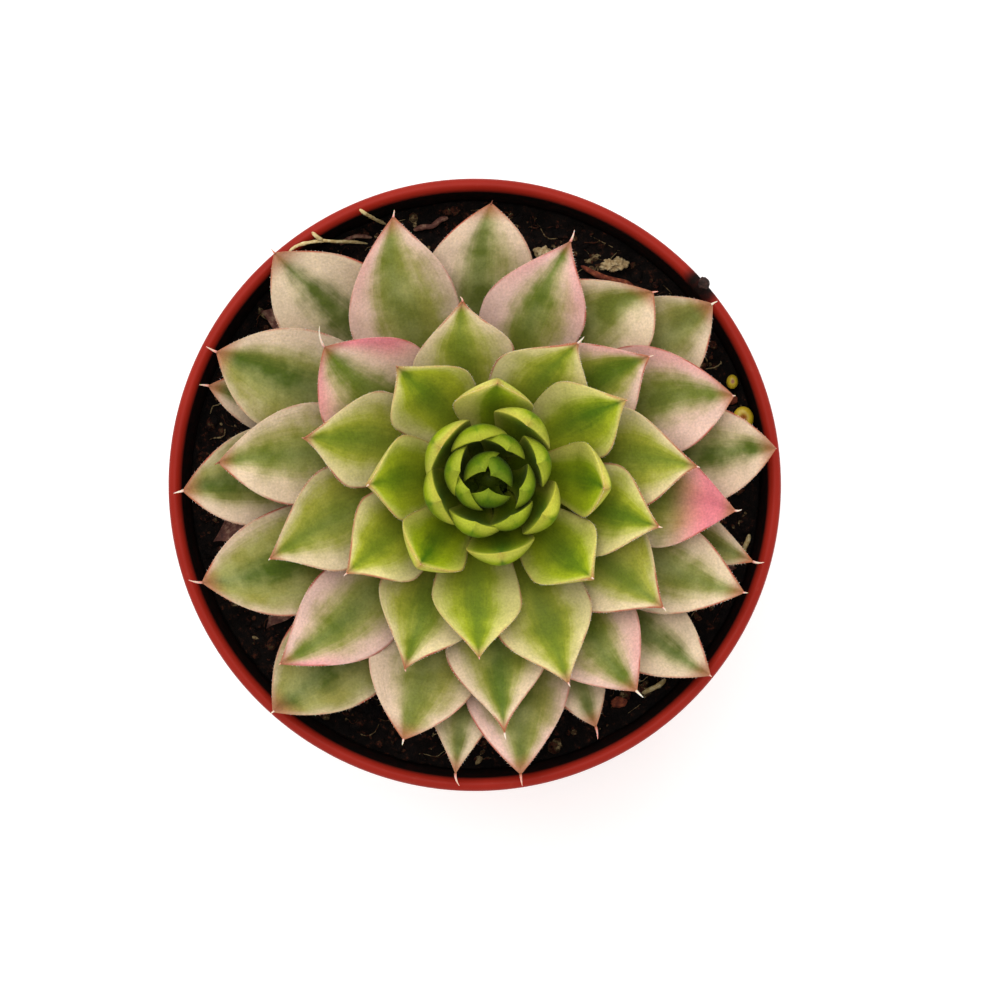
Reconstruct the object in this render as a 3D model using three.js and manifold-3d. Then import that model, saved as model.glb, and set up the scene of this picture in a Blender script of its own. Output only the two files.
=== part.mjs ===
// A houseleek rosette in a small plastic nursery pot.
// Millimetres, +Z up, the pot stands on z = 0 with its axis on the Z axis, and +Y is the far side.
import * as THREE from 'three';
import { mergeVertices } from 'three/addons/utils/BufferGeometryUtils.js';
import Module from 'manifold-3d';

const wasm = await Module();
wasm.setup();

// ---- Pot -------------------------------------------------------------------------------------
const POT_HEIGHT = 70;
const RIM_RADIUS = 42.5;          // outer edge of the rim bead, so the pot is 85 mm across
const RIM_BEAD = 1.9;             // radial width of the bead, seen from above as the bright ring
const BEAD_DEPTH = 2.6;           // how far down the inside the bead reaches
const BEAD_FLAT = 0.2;            // half width of the flat on its top
const FLARE = 0.9;                // how far the bead stands out from the band under it
const FLARE_DEPTH = 3.4;          // how far below the top the bead starts on the outside
const WALL = 1.2;
const COLLAR_HEIGHT = 15;         // band under the rim
const COLLAR_INSET = 1.8;         // how much less its radius is at its lower end than at the rim
const COLLAR_STEP = 1.8;          // how far the band stands out from the tapered body
const STEP_HEIGHT = 1.5;          // height over which the body widens into the band
const BASE_RADIUS = 29;
const FOOT_WIDTH = 5;             // ring that the pot stands on
const FOOT_EDGE = 0.8;            // bevel of the foot's outer edge
const FOOT_HEIGHT = 2;
const FLOOR = 1.5;
const DRAIN_HOLES = 6;
const DRAIN_RADIUS = 3.2;
const DRAIN_CIRCLE = 16;          // radius of the circle that the drain holes lie on
const POT_SIDES = 64;

// ---- Soil ------------------------------------------------------------------------------------
const GAP = 0.3;                  // clearance between pieces that touch
const SOIL_LEVEL = 61.2;          // mean height of the soil's surface
const SOIL_LUMP = 0.55;           // height of its lumps
const SOIL_HEAP = 1.6;            // how much higher it lies against the right-hand wall
const SOIL_DIP = 1.6;             // how much lower it lies at the stem
const DIP_REACH = [8, 24];        // distances from the crown over which it climbs out of that dip
const HEAP_X = [30, 39];          // where the heap rises, from left to right
const HEAP_Y = [-4, 6];           // and from the near side to the far one
const SOIL_FACET = 0.15;          // most that the facets of its surface rise above the formula
const SOIL_RINGS = 15;
const SOIL_SIDES = 66;

// ---- Rosette ---------------------------------------------------------------------------------
const CROWN_X = 2.1;              // the plant stands a little off the pot's axis
const CROWN_Y = 1.0;
const STEM_RADIUS = 4.2;
const STEM_FOOT = 50;             // lower end of the stem, in its hole in the soil
const STEM_SHOULDER = 66;         // above this the stem narrows
const STEM_TOP = 79;
const FIRST_BEARING = 46.3;       // degrees anticlockwise from +X, for leaf 0 at the heart
const SPIRAL_TURN = 137.57;       // degrees clockwise from each leaf to the next, the golden angle
const LEAF_COUNT = 63;
const FOOT_DEPTH = 3.0;           // the leaves start this far from the crown's axis, inside the stem
const FOOT_LOW = 62.6;            // height of the oldest leaf's foot
const FOOT_CLIMB = 14;            // how far the youngest leaf's foot is above that
const TIP_LOW = 72.6;             // height of the oldest leaf's tip
const TIP_CLIMB = 15.2;           // how far the youngest leaf's tip is above that
const BUD_SINK = 3;               // how far the bud's tips lie under that climb
const BUD_WIDTH = 6.2;            // width of the youngest leaf, and of every leaf from the 32nd on
const FULL_WIDTH = 14.5;
const BUD_THICKNESS = 1.4;        // thickness of the youngest leaf
const HEART_THICKNESS = 2.2;      // thickness of the leaves round the heart
const OLD_THICKNESS = 1.8;        // thickness of the leaves from the 30th on
const HEART_SWELL = 1.6;          // how far a heart leaf's knee lies outside its tip, for it curves in
const BUD_SWELL = 3.2;            // the same for the two youngest
const OPEN_KNEE = 0.6;            // where an open leaf's knee lies, as a share of the way to its tip
const NECK = 0.42;                // width of a leaf at its foot, as a share of its widest
const SHOULDER = 0.62;            // how far along a leaf it reaches its full width
const TAPER = 0.6;                // how far along it starts to narrow to its tip
const OGEE = 0.6;                 // share of ogee in the outline of the leaves that are still young
const ARCH = 1.8;                 // power of the arch that is the rest of it
const OLD_ARCH = 2.5;             // the same for the oldest leaves, which have no ogee and are blunter
const FOLD = 0.22;                // how steeply an open leaf folds up along its midrib near the tip
const OLD_LIFT = 0.32;            // how far up its climb the oldest leaf's knee lies, as a share
const YOUNG_LIFT = 0.1;           // how much further up the youngest leaf's knee lies
const BUD_CUP = 10;               // radius of the hollow across the youngest leaf
const CUP_GROWTH = 0.4;           // how much that radius grows from each leaf to the next
const FOOT_POWER = 0.9;           // how the feet climb with youth: near 1, so almost evenly
const TIP_POWER = 1.15;
const LEAF_STATIONS = [0, 0.3, 0.5, 0.63, 0.74, 0.84, 0.93];
// Its section: places across it, and how deep each lies as a share of the depth there. The upper
// face's three come first, then the rounded underside's.
const LEAF_SECTION = [[1, 0], [0, -0.15], [-1, 0], [-0.6, 0.66], [0, 0.9], [0.6, 0.66]];

// The leaves between which each trait changes from its young value to its grown one.
const UNFURLS = [1, 4];           // the swell of the bud
const RISES = [0, 14];            // the bud's tips, up to the general climb
const THICKENS = [0, 12];
const BROADENS = [0, 32];
const OPENS = [12.5, 22];         // from curved inwards to lying open
const THINS = [15, 30];
const ROUNDS = [30, 46];          // the ogee goes
const BLUNTS = [30, 50];          // the arch's power grows

// For each leaf, from the bud outwards: how many degrees it has swung off the spiral, and the reach
// of its tip from the crown's axis, then, where it curves sideways, the degrees by which its middle
// lies off the straight. Two of the oldest have withered away, and the spiral skips them.
const LEAVES = [
  [-4, 0.2], [-4, 1.5], [-4, 0.9], [-16, 4.3], [-4, 3.2], [-22, 4.2], [-2, 5.9], [6, 4.0],
  [-10, 6.6], [5, 6.3], [-6, 5.0], [-8, 8.6], [10, 7.2], [-4, 8.5], [-2, 10.3], [6, 7.6],
  [-11, 15.5], [4, 15.0], [-5, 12.7], [3, 19.5], [9, 16.5], [-8, 21.2], [7, 24.5], [8, 19.5],
  [-1, 24.0], [7, 23.4], [-13, 21.8], [-1, 30.0], [14, 25.8], [-14, 28.3], [7, 28.5],
  [-3, 24.3, 3], [-1, 29.6], [14, 32.0], [-12, 27.3, 1], [2, 35.0], [8, 28.6, 5], [-4, 33.8],
  [3, 38.3, 4], [-10, 34.0], [1, 35.4, -2], [11, 37.1], [-10, 35.1, 4], [1, 37.7, -1],
  [-3, 38.0, 6.5], [0, 38.2, -3], [2, 41.9, 4], [-12, 33.8, 6], [-7, 40.9, -1], [10, 41.2, 2],
  [-2, 39.4], [-3, 43.8, 1.5], [-3, 37.6, 3], [3, 40.7, -2], [5, 42.2, -1.5], [-2, 38.8], [1, 41.0],
  [9, 42.8, 2], [-5, 38.1], null, null, [-1.5, 37.3], [5, 40.8],
];
// Width of the leaves that are broader or narrower than their age says, as a share of the usual.
const SHARES = {
  36: 1.2, 38: 0.95, 40: 1.05, 42: 1.15, 43: 1.12, 44: 1.1, 45: 0.95, 46: 1.05, 47: 1.25, 48: 1.05,
  49: 1.08, 51: 1.08, 52: 1.1, 53: 0.88, 56: 0.85, 57: 1.12, 58: 0.65, 61: 0.65, 62: 0.7,
};
// Share of ogee in the outline of the leaves that stand out, and the arch's power in the bluntest.
const OGEES = { 35: 0.8, 39: 0.5, 44: 0.3, 45: 0.3, 48: 0.3, 53: 0.2, 56: 0.6, 58: 0.4 };
const ARCHES = { 36: 4 };

// ---- Loose things on the soil ----------------------------------------------------------------
// Lumps: finish, centre, half sizes along, across and up, turn in degrees, depth of a dimple on top.
const DIMPLE_WIDTH = 0.55;        // how wide a dimple is, in radians from the top
const LUMP_RIPPLE = 0.06;         // how uneven a lump is, as a share of its size
const LUMPS = {
  prill_upper: ['prill', [36.1, 14.5], [1.1, 0.9, 0.95], 80, 0],
  prill_lower: ['prill', [37.5, 9.3], [1.75, 1.5, 1.3], 70, 0.45],
  bark_chip: ['bark', [35.9, 12.0], [1.1, 0.8, 0.6], 20, 0],
  crumb_top: ['grit', [9.5, 32.7], [1.6, 1.1, 0.9], 10, 0],
  crumb_top_right: ['grit', [19.5, 31.0], [2.4, 1.25, 0.9], -15, 0],
  flake_lower: ['bark', [20.1, -30.6], [1.5, 0.8, 0.5], -25, 0],
};
// The dark crumb that lies on the rim.
const RIM_CRUMB_BEARING = 41.2;
const RIM_CRUMB_RADIUS = 42.2;
const RIM_CRUMB_SIZE = [1.0, 0.95, 0.8];

// Strands: finish, thickness, and stretches of points with their height over the soil.
const STRANDS = {
  bark_strip: ['bark', 0.8, [[[14.9, 30.9, 0.3], [17.3, 29.5, 0.6], [19.8, 28.8, 0.6], [21.7, 28.2, 0.5],
    [22.5, 26.8, 0.3]]]],
  straw_arc: ['straw', 0.5, [[[-25.6, 32.2, 9.7], [-24.4, 33.0, 9.9], [-22.8, 33.5, 9.6],
    [-21.0, 33.8, 8.2], [-19.3, 33.8, 6.0], [-17.2, 34.0, 3.4], [-15.1, 34.0, 0.4]],
    [[-21.0, 33.8, 8.2], [-21.7, 34.2, 9.5], [-22.5, 34.9, 9.8]]]],
  straw_brown: ['withered', 0.6, [[[-19.0, 33.8, 0.3], [-18.1, 34.4, 0.9], [-16.6, 35.0, 1.1],
    [-14.5, 34.9, 0.3]]]],
  straw_top: ['straw', 0.5, [[[-15.9, 38.0, 9.8], [-15.0, 37.4, 9.6], [-13.8, 37.0, 5.5],
    [-12.5, 36.7, 0.4]]]],
  withered_tip_top: ['withered', 0.8, [[[-8.7, 35.9, 0.3], [-7.2, 36.3, 0.8], [-6.0, 36.4, 1.0],
    [-4.9, 37.3, 1.1], [-3.8, 37.6, 0.9]]]],
  pale_strand_right: ['straw', 0.7, [[[38.0, -9.8, 0.3], [37.9, -8.9, 0.9], [38.3, -7.9, 1.1],
    [38.6, -6.9, 0.4]]]],
  pale_strand_lower_right: ['straw', 0.7, [[[23.5, -29.3, 0.3], [24.9, -28.6, 0.8], [26.0, -28.0, 0.8],
    [26.8, -27.3, 0.3]]]],
};

// Withered leaves on the soil: bearing of the tip from the crown, reach, length and width.
const WITHERED_SWING = 8;         // degrees that a withered leaf bends sideways
const WITHERED_RISE = 0.6;        // how much higher than its foot its tip lies
const WITHERED_THICKNESS = 1;
const WITHERED_LIFT = 1.2;        // its middle arches up to above its tip
const WITHERED_CUP = 0.7;         // radius of the hollow across it, as a share of its width
const WITHERED_STATIONS = [0, 0.25, 0.5, 0.7, 0.82, 0.92];
const WITHERED_LEAVES = {
  withered_leaf_upper_left: [144, 40.0, 13, 6.5],
  withered_leaf_left: [193, 40.0, 12, 5.5],
  withered_leaf_lower_left: [214, 38.0, 12, 5.0],
  withered_leaf_bottom: [239, 38.5, 12, 6.0],
  withered_leaf_right: [340, 37.0, 10, 5.0],
};

const COLOURS = {
  pot: [0x9c2416, 0.45],
  soil: [0x1c1412, 1.0],
  leaf: [0x9fb060, 0.5],
  prill: [0xd8c020, 0.4],
  bark: [0x7a3a22, 0.9],
  grit: [0xb39668, 0.95],
  peat: [0x2a2422, 1.0],
  straw: [0xc9b078, 0.8],
  withered: [0x6e4436, 0.9],
};

const rad = THREE.MathUtils.degToRad;

// A smooth step from 0 at x = a to 1 at x = b.
function ramp(a, b, x) {
  return THREE.MathUtils.smoothstep(x, a, b);
}

// Joins the vertices that coincide, which leaves only their positions.
function weld(geometry) {
  geometry.deleteAttribute('normal');
  geometry.deleteAttribute('uv');
  return mergeVertices(geometry, 1e-4);
}

// A closed geometry as a solid that can be joined and cut.
function toSolid(geometry) {
  const welded = weld(geometry);
  const vertProperties = new Float32Array(welded.attributes.position.array);
  const triVerts = new Uint32Array(welded.index.array);
  return new wasm.Manifold(new wasm.Mesh({ numProp: 3, vertProperties, triVerts }));
}

// A solid back as a geometry.
function toGeometry(solid) {
  const mesh = solid.getMesh();
  const geometry = new THREE.BufferGeometry();
  geometry.setAttribute('position', new THREE.BufferAttribute(new Float32Array(mesh.vertProperties), 3));
  geometry.setIndex(new THREE.BufferAttribute(new Uint32Array(mesh.triVerts), 1));
  return geometry;
}

// The outermost surface of a solid. Fusing leaves closes small hollows between their roots, and
// each of those is a surface of its own: leaving them out fills them.
function filled(solid) {
  return solid.decompose().reduce((best, shell) => (shell.volume() > best.volume() ? shell : best));
}

// A closed geometry from rings of points with the same count: a cap, the sides, and a cap or a tip.
// The rings run anticlockwise about the way in which they follow each other.
function loft(rings, tip) {
  const count = rings[0].length;
  const points = rings.flat();
  const index = [];
  for (let i = 1; i < count - 1; i += 1) index.push(0, i + 1, i);
  for (let j = 0; j < rings.length - 1; j += 1) {
    for (let i = 0; i < count; i += 1) {
      const a = j * count + i;
      const b = j * count + ((i + 1) % count);
      index.push(a, b, b + count, a, b + count, a + count);
    }
  }
  const last = (rings.length - 1) * count;
  if (tip) {
    points.push(tip);
    for (let i = 0; i < count; i += 1) index.push(last + i, last + ((i + 1) % count), points.length - 1);
  } else {
    for (let i = 1; i < count - 1; i += 1) index.push(last, last + i, last + i + 1);
  }
  const geometry = new THREE.BufferGeometry().setFromPoints(points);
  geometry.setIndex(index);
  return geometry;
}

// ---- Pot -------------------------------------------------------------------------------------

const COLLAR_Z = POT_HEIGHT - COLLAR_HEIGHT;
const STEP_Z = COLLAR_Z - STEP_HEIGHT;
const COLLAR_FOOT_RADIUS = RIM_RADIUS - COLLAR_INSET;
const BODY_TOP_RADIUS = COLLAR_FOOT_RADIUS - COLLAR_STEP;

// The pot's inner radius at a height above its floor.
function potInside(z) {
  const mapLinear = THREE.MathUtils.mapLinear;
  if (z < STEP_Z) return mapLinear(z, 0, STEP_Z, BASE_RADIUS, BODY_TOP_RADIUS) - WALL;
  if (z < COLLAR_Z) return mapLinear(z, STEP_Z, COLLAR_Z, BODY_TOP_RADIUS, COLLAR_FOOT_RADIUS) - WALL;
  return mapLinear(z, COLLAR_Z, POT_HEIGHT - BEAD_DEPTH, COLLAR_FOOT_RADIUS, RIM_RADIUS) - WALL;
}

function potGeometry() {
  const top = POT_HEIGHT;
  const crest = RIM_RADIUS - RIM_BEAD / 2;
  const under = FOOT_HEIGHT;
  const profile = [
    [0, under],
    [BASE_RADIUS - FOOT_WIDTH - 0.5, under],
    [BASE_RADIUS - FOOT_WIDTH, 0],
    [BASE_RADIUS - FOOT_EDGE, 0],
    [BASE_RADIUS, FOOT_EDGE],
    [BODY_TOP_RADIUS, STEP_Z - 0.7],
    [COLLAR_FOOT_RADIUS, STEP_Z + 0.1],
    [RIM_RADIUS - FLARE, top - FLARE_DEPTH],
    [RIM_RADIUS - FLARE / 3, top - FLARE_DEPTH + 0.5],
    [RIM_RADIUS, top - 2],
    [RIM_RADIUS, top - 0.7],
    [crest + BEAD_FLAT, top],
    [crest - BEAD_FLAT, top],
    [RIM_RADIUS - RIM_BEAD, top - 0.8],
    [RIM_RADIUS - RIM_BEAD, top - 1.6],
    [potInside(top - BEAD_DEPTH), top - BEAD_DEPTH],
    [potInside(COLLAR_Z), COLLAR_Z],
    [potInside(STEP_Z), STEP_Z],
    [potInside(under + FLOOR), under + FLOOR],
    [0, under + FLOOR],
  ];
  const outline = profile.map(([r, z]) => new THREE.Vector2(r, z));
  const lathe = new THREE.LatheGeometry(outline, POT_SIDES).rotateX(Math.PI / 2);
  const drillLength = 5 * FLOOR;
  let solid = toSolid(lathe);
  for (let i = 0; i < DRAIN_HOLES; i += 1) {
    const bearing = (i * 2 * Math.PI) / DRAIN_HOLES;
    const drill = new THREE.CylinderGeometry(DRAIN_RADIUS, DRAIN_RADIUS, drillLength, 16);
    drill.rotateX(Math.PI / 2);
    drill.translate(DRAIN_CIRCLE * Math.cos(bearing), DRAIN_CIRCLE * Math.sin(bearing), under);
    solid = solid.subtract(toSolid(drill));
  }
  return toGeometry(solid);
}

// ---- Soil ------------------------------------------------------------------------------------

// Height of the soil's surface: three crossed waves for the lumps, a heap against the right-hand
// wall, and a dip round the stem.
function soilTop(x, y) {
  const broad = Math.sin(0.65 * x + 0.3 * y) * Math.cos(0.55 * y - 0.15 * x);
  const lumps = broad + 0.4 * Math.sin(1.1 * x - 0.8 * y);
  const open = ramp(...DIP_REACH, Math.hypot(x - CROWN_X, y - CROWN_Y));
  const heap = ramp(...HEAP_X, x) * ramp(...HEAP_Y, y);
  return SOIL_LEVEL - SOIL_DIP * (1 - open) + SOIL_LUMP * lumps * open + SOIL_HEAP * heap;
}

// One ring of points round the pot's axis.
function circle(radius, heightAt) {
  const ring = [];
  for (let i = 0; i < SOIL_SIDES; i += 1) {
    const bearing = (i * 2 * Math.PI) / SOIL_SIDES;
    const x = radius * Math.cos(bearing);
    const y = radius * Math.sin(bearing);
    ring.push(new THREE.Vector3(x, y, heightAt(x, y)));
  }
  return ring;
}

function soilGeometry() {
  const floor = FOOT_HEIGHT + FLOOR + GAP;
  const edge = potInside(SOIL_LEVEL - SOIL_LUMP) - GAP;
  const rings = [
    circle(potInside(floor) - GAP, () => floor),
    circle(potInside(STEP_Z) - GAP, () => STEP_Z),
    circle(potInside(COLLAR_Z) - GAP, () => COLLAR_Z + GAP),
  ];
  for (let j = SOIL_RINGS; j > 0; j -= 1) {
    rings.push(circle((edge * j) / SOIL_RINGS, soilTop));
  }
  const block = loft(rings, new THREE.Vector3(0, 0, soilTop(0, 0)));
  const radius = STEM_RADIUS + GAP;
  const depth = STEM_TOP - STEM_FOOT;
  const hole = new THREE.CylinderGeometry(radius, radius, depth, 20).rotateX(Math.PI / 2);
  hole.translate(CROWN_X, CROWN_Y, STEM_FOOT - GAP + depth / 2);
  return toGeometry(toSolid(block).subtract(toSolid(hole)));
}

// ---- Leaves ----------------------------------------------------------------------------------

// Half width of a leaf along its length, as a share of its widest: a spoon that narrows to a sharp
// tip, partly in an ogee, which draws the tip out, and for the rest in a round arch.
function leafOutline(u, ogee, arch) {
  const spoon = NECK + (1 - NECK) * ramp(0, SHOULDER, u);
  const s = THREE.MathUtils.clamp((u - TAPER) / (1 - TAPER), 0, 1);
  return spoon * (ogee * (0.5 + 0.5 * Math.cos(Math.PI * s)) + (1 - ogee) * (1 - s ** arch));
}

// Depth of a leaf's rounded underside along its length, as a share of the deepest.
function leafDepth(u) {
  const s = THREE.MathUtils.clamp((u - 0.55) / 0.45, 0, 1);
  return (0.8 + 0.2 * ramp(0, 0.6, u)) * Math.sqrt(1 - s * s);
}

// A leaf's surface point. The midrib is a quadratic curve in an upright plane that swings round
// the crown by the leaf's lean and bows to one side in its middle; u runs along it, v across it
// from -1 to 1, and depth is how far the point lies under the upper face.
function leafPoint(leaf, u, v, depth) {
  const knee = [leaf.knee, leaf.footZ + leaf.lift * (leaf.tipZ - leaf.footZ)];
  const w = 1 - u;
  const r = w * w * leaf.foot + 2 * u * w * knee[0] + u * u * leaf.reach;
  const z = w * w * leaf.footZ + 2 * u * w * knee[1] + u * u * leaf.tipZ;
  const slopeR = w * (knee[0] - leaf.foot) + u * (leaf.reach - knee[0]);
  const slopeZ = w * (knee[1] - leaf.footZ) + u * (leaf.tipZ - knee[1]);
  const length = Math.hypot(slopeR, slopeZ);
  const across = 0.5 * leaf.width * leafOutline(u, leaf.ogee, leaf.arch) * v;
  const side = Math.sin(across / leaf.cup) * leaf.cup;
  const hollow = (1 - Math.cos(across / leaf.cup)) * leaf.cup;
  const fold = FOLD * leaf.opened * ramp(TAPER, 1, u) * Math.abs(across);
  const up = hollow + fold - depth;
  const radius = r - (slopeZ / length) * up;
  const bearing = rad(leaf.bearing + leaf.lean * u + leaf.bow * 4 * u * w);
  return new THREE.Vector3(
    leaf.x + radius * Math.cos(bearing) - side * Math.sin(bearing),
    leaf.y + radius * Math.sin(bearing) + side * Math.cos(bearing),
    z + (slopeR / length) * up,
  );
}

// A leaf as a closed blade: its section repeated at stations along it, and a sharp tip.
function leafBlade(leaf, stations) {
  const rings = stations.map((u) => {
    const keel = leaf.thickness * leafDepth(u);
    return LEAF_SECTION.map(([v, depth]) => leafPoint(leaf, u, v, depth * keel));
  });
  return loft(rings, leafPoint(leaf, 1, 0, 0));
}

// The form of leaf n, counted outwards from the bud: its size and stance follow its age, and its
// place follows the golden-angle spiral.
function leafForm(n) {
  const youth = 1 - n / (LEAF_COUNT - 1);
  const [lean, reach, bow = 0] = LEAVES[n];
  const share = SHARES[n] ?? 1;
  const foot = Math.min(FOOT_DEPTH, reach * 0.6);
  const opened = ramp(...OPENS, n);
  const swell = THREE.MathUtils.lerp(BUD_SWELL, HEART_SWELL, ramp(...UNFURLS, n));
  const grown = ramp(...THICKENS, n);
  const thinned = ramp(...THINS, n);
  const thickness = THREE.MathUtils.lerp(BUD_THICKNESS, HEART_THICKNESS, grown)
    - (HEART_THICKNESS - OLD_THICKNESS) * thinned;
  return {
    x: CROWN_X,
    y: CROWN_Y,
    bearing: FIRST_BEARING - SPIRAL_TURN * n,
    lean,
    bow,
    reach,
    foot,
    footZ: FOOT_LOW + FOOT_CLIMB * youth ** FOOT_POWER,
    tipZ: TIP_LOW + TIP_CLIMB * youth ** TIP_POWER - BUD_SINK * (1 - ramp(...RISES, n)),
    width: THREE.MathUtils.lerp(BUD_WIDTH, FULL_WIDTH, ramp(...BROADENS, n)) * share,
    thickness: thickness * Math.min(1, Math.sqrt(share)),
    knee: THREE.MathUtils.lerp(reach + swell, foot + OPEN_KNEE * (reach - foot), opened),
    lift: OLD_LIFT + YOUNG_LIFT * youth,
    cup: BUD_CUP + CUP_GROWTH * n,
    opened,
    ogee: OGEES[n] ?? OGEE * (1 - ramp(...ROUNDS, n)),
    arch: ARCHES[n] ?? THREE.MathUtils.lerp(ARCH, OLD_ARCH, ramp(...BLUNTS, n)),
  };
}

function stemGeometry() {
  const profile = [
    [0, STEM_FOOT],
    [STEM_RADIUS - 0.8, STEM_FOOT],
    [STEM_RADIUS, STEM_FOOT + 1],
    [STEM_RADIUS, STEM_SHOULDER],
    [0.55 * STEM_RADIUS, STEM_TOP - 3],
    [0, STEM_TOP],
  ];
  const outline = profile.map(([r, z]) => new THREE.Vector2(r, z));
  return new THREE.LatheGeometry(outline, 16).rotateX(Math.PI / 2).translate(CROWN_X, CROWN_Y, 0);
}

function rosetteGeometry() {
  let plant = toSolid(stemGeometry());
  for (let n = 0; n < LEAF_COUNT; n += 1) {
    if (LEAVES[n] !== null) plant = plant.add(toSolid(leafBlade(leafForm(n), LEAF_STATIONS)));
  }
  return toGeometry(filled(plant));
}

// ---- Loose things on the soil ----------------------------------------------------------------

// Lifts or lowers a geometry until its closest point to the soil is just clear of it.
function settle(geometry) {
  const place = geometry.attributes.position;
  let clear = Infinity;
  for (let i = 0; i < place.count; i += 1) {
    clear = Math.min(clear, place.getZ(i) - soilTop(place.getX(i), place.getY(i)));
  }
  return geometry.translate(0, 0, GAP + SOIL_FACET - clear);
}

// A lump: a faceted ball made uneven by two waves, with a round dimple on top where it has one.
function lumpGeometry(halfSizes, turn, dimple, x, y) {
  const detail = dimple > 0 ? 2 : 1;
  const ball = weld(new THREE.IcosahedronGeometry(1, detail));
  const place = ball.attributes.position;
  const point = new THREE.Vector3();
  for (let i = 0; i < place.count; i += 1) {
    point.fromBufferAttribute(place, i);
    const ripple = Math.sin(5 * point.x + 3 * point.y + turn) * Math.cos(4 * point.z + turn);
    const uneven = 1 - LUMP_RIPPLE * (1 + ripple);
    const fromTop = Math.acos(THREE.MathUtils.clamp(point.z, -1, 1));
    const scale = dimple > 0 ? 1 - dimple * Math.exp(-((fromTop / DIMPLE_WIDTH) ** 2)) : uneven;
    point.multiplyScalar(scale);
    place.setXYZ(i, point.x * halfSizes[0], point.y * halfSizes[1], point.z * halfSizes[2]);
  }
  return ball.rotateZ(rad(turn)).translate(x, y, 0);
}

function rimCrumbGeometry() {
  const x = RIM_CRUMB_RADIUS * Math.cos(rad(RIM_CRUMB_BEARING));
  const y = RIM_CRUMB_RADIUS * Math.sin(rad(RIM_CRUMB_BEARING));
  const crumb = lumpGeometry(RIM_CRUMB_SIZE, RIM_CRUMB_BEARING, 0, x, y);
  crumb.computeBoundingBox();
  return crumb.translate(0, 0, POT_HEIGHT + GAP - crumb.boundingBox.min.z);
}

// A strand: a six-sided tube through points given by their height over the soil.
function strandTube(points, thickness) {
  const lift = GAP + thickness / 2;
  const route = points.map(([x, y, h]) => new THREE.Vector3(x, y, soilTop(x, y) + h + lift));
  const section = new THREE.Shape();
  for (let i = 0; i < 6; i += 1) {
    const bearing = (i * Math.PI) / 3;
    const corner = [(thickness / 2) * Math.cos(bearing), (thickness / 2) * Math.sin(bearing)];
    if (i === 0) section.moveTo(...corner);
    else section.lineTo(...corner);
  }
  section.closePath();
  const steps = 3 * (points.length - 1);
  const extrudePath = new THREE.CatmullRomCurve3(route);
  return new THREE.ExtrudeGeometry(section, { steps, extrudePath, curveSegments: 1 });
}

function strandGeometry(stretches, thickness) {
  const tubes = stretches.map((points) => toSolid(strandTube(points, thickness)));
  return toGeometry(tubes.reduce((strand, tube) => strand.add(tube)));
}

// A withered leaf lies along the soil with its edges curled up.
function witheredGeometry([bearing, reach, length, width]) {
  const leaf = {
    x: CROWN_X,
    y: CROWN_Y,
    bearing: bearing - WITHERED_SWING,
    lean: WITHERED_SWING,
    bow: 0,
    reach,
    foot: reach - length,
    footZ: SOIL_LEVEL,
    tipZ: SOIL_LEVEL + WITHERED_RISE,
    width,
    thickness: WITHERED_THICKNESS,
    knee: reach - length / 2,
    lift: WITHERED_LIFT,
    cup: WITHERED_CUP * width,
    opened: 1,
    ogee: OGEE,
    arch: ARCH,
  };
  return settle(leafBlade(leaf, WITHERED_STATIONS));
}

// ---- The model -------------------------------------------------------------------------------

function piece(name, geometry, finish) {
  const [color, roughness] = COLOURS[finish];
  const material = new THREE.MeshStandardMaterial({ color, roughness, metalness: 0 });
  const mesh = new THREE.Mesh(geometry, material);
  mesh.name = name;
  return mesh;
}

const model = new THREE.Group();
model.name = 'potted_succulent';
model.add(piece('pot', potGeometry(), 'pot'));
model.add(piece('soil', soilGeometry(), 'soil'));
model.add(piece('rosette', rosetteGeometry(), 'leaf'));
model.add(piece('rim_crumb', rimCrumbGeometry(), 'peat'));
for (const [name, [finish, [x, y], halfSizes, turn, dimple]] of Object.entries(LUMPS)) {
  model.add(piece(name, settle(lumpGeometry(halfSizes, turn, dimple, x, y)), finish));
}
for (const [name, [finish, thickness, stretches]] of Object.entries(STRANDS)) {
  model.add(piece(name, strandGeometry(stretches, thickness), finish));
}
for (const [name, form] of Object.entries(WITHERED_LEAVES)) {
  model.add(piece(name, witheredGeometry(form), 'withered'));
}

export default model;
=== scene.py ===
"""The looks of a houseleek rosette in a red plastic nursery pot.

Sizes are in millimetres in the part's own frame: +Z up, the pot stands on z = 0 with its axis on the
Z axis, and +Y is the far side. They become metres once, where a mesh is made.
"""

import logging
import math
from abc import ABC, abstractmethod
from dataclasses import dataclass, field
from enum import Enum

import bpy
import numpy as np
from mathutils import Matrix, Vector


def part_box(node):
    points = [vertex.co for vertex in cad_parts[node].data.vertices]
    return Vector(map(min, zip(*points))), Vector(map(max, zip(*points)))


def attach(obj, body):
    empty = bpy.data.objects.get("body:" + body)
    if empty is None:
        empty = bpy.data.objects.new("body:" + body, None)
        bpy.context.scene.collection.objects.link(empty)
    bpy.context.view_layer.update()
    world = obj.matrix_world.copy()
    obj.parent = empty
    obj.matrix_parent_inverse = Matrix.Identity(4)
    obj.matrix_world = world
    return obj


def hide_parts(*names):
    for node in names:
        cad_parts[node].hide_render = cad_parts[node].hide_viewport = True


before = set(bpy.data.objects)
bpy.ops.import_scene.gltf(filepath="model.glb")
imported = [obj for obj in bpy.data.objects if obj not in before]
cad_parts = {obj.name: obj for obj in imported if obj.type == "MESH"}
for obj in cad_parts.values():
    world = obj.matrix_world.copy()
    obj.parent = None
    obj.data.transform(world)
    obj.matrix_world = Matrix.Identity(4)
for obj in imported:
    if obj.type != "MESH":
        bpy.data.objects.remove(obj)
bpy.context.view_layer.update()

LOG = logging.getLogger("potted_succulent")
MM = 0.001
UP = np.array([0.0, 0.0, 1.0])
BODY = "root"


# ---- Small mathematics -------------------------------------------------------------------------


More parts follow.
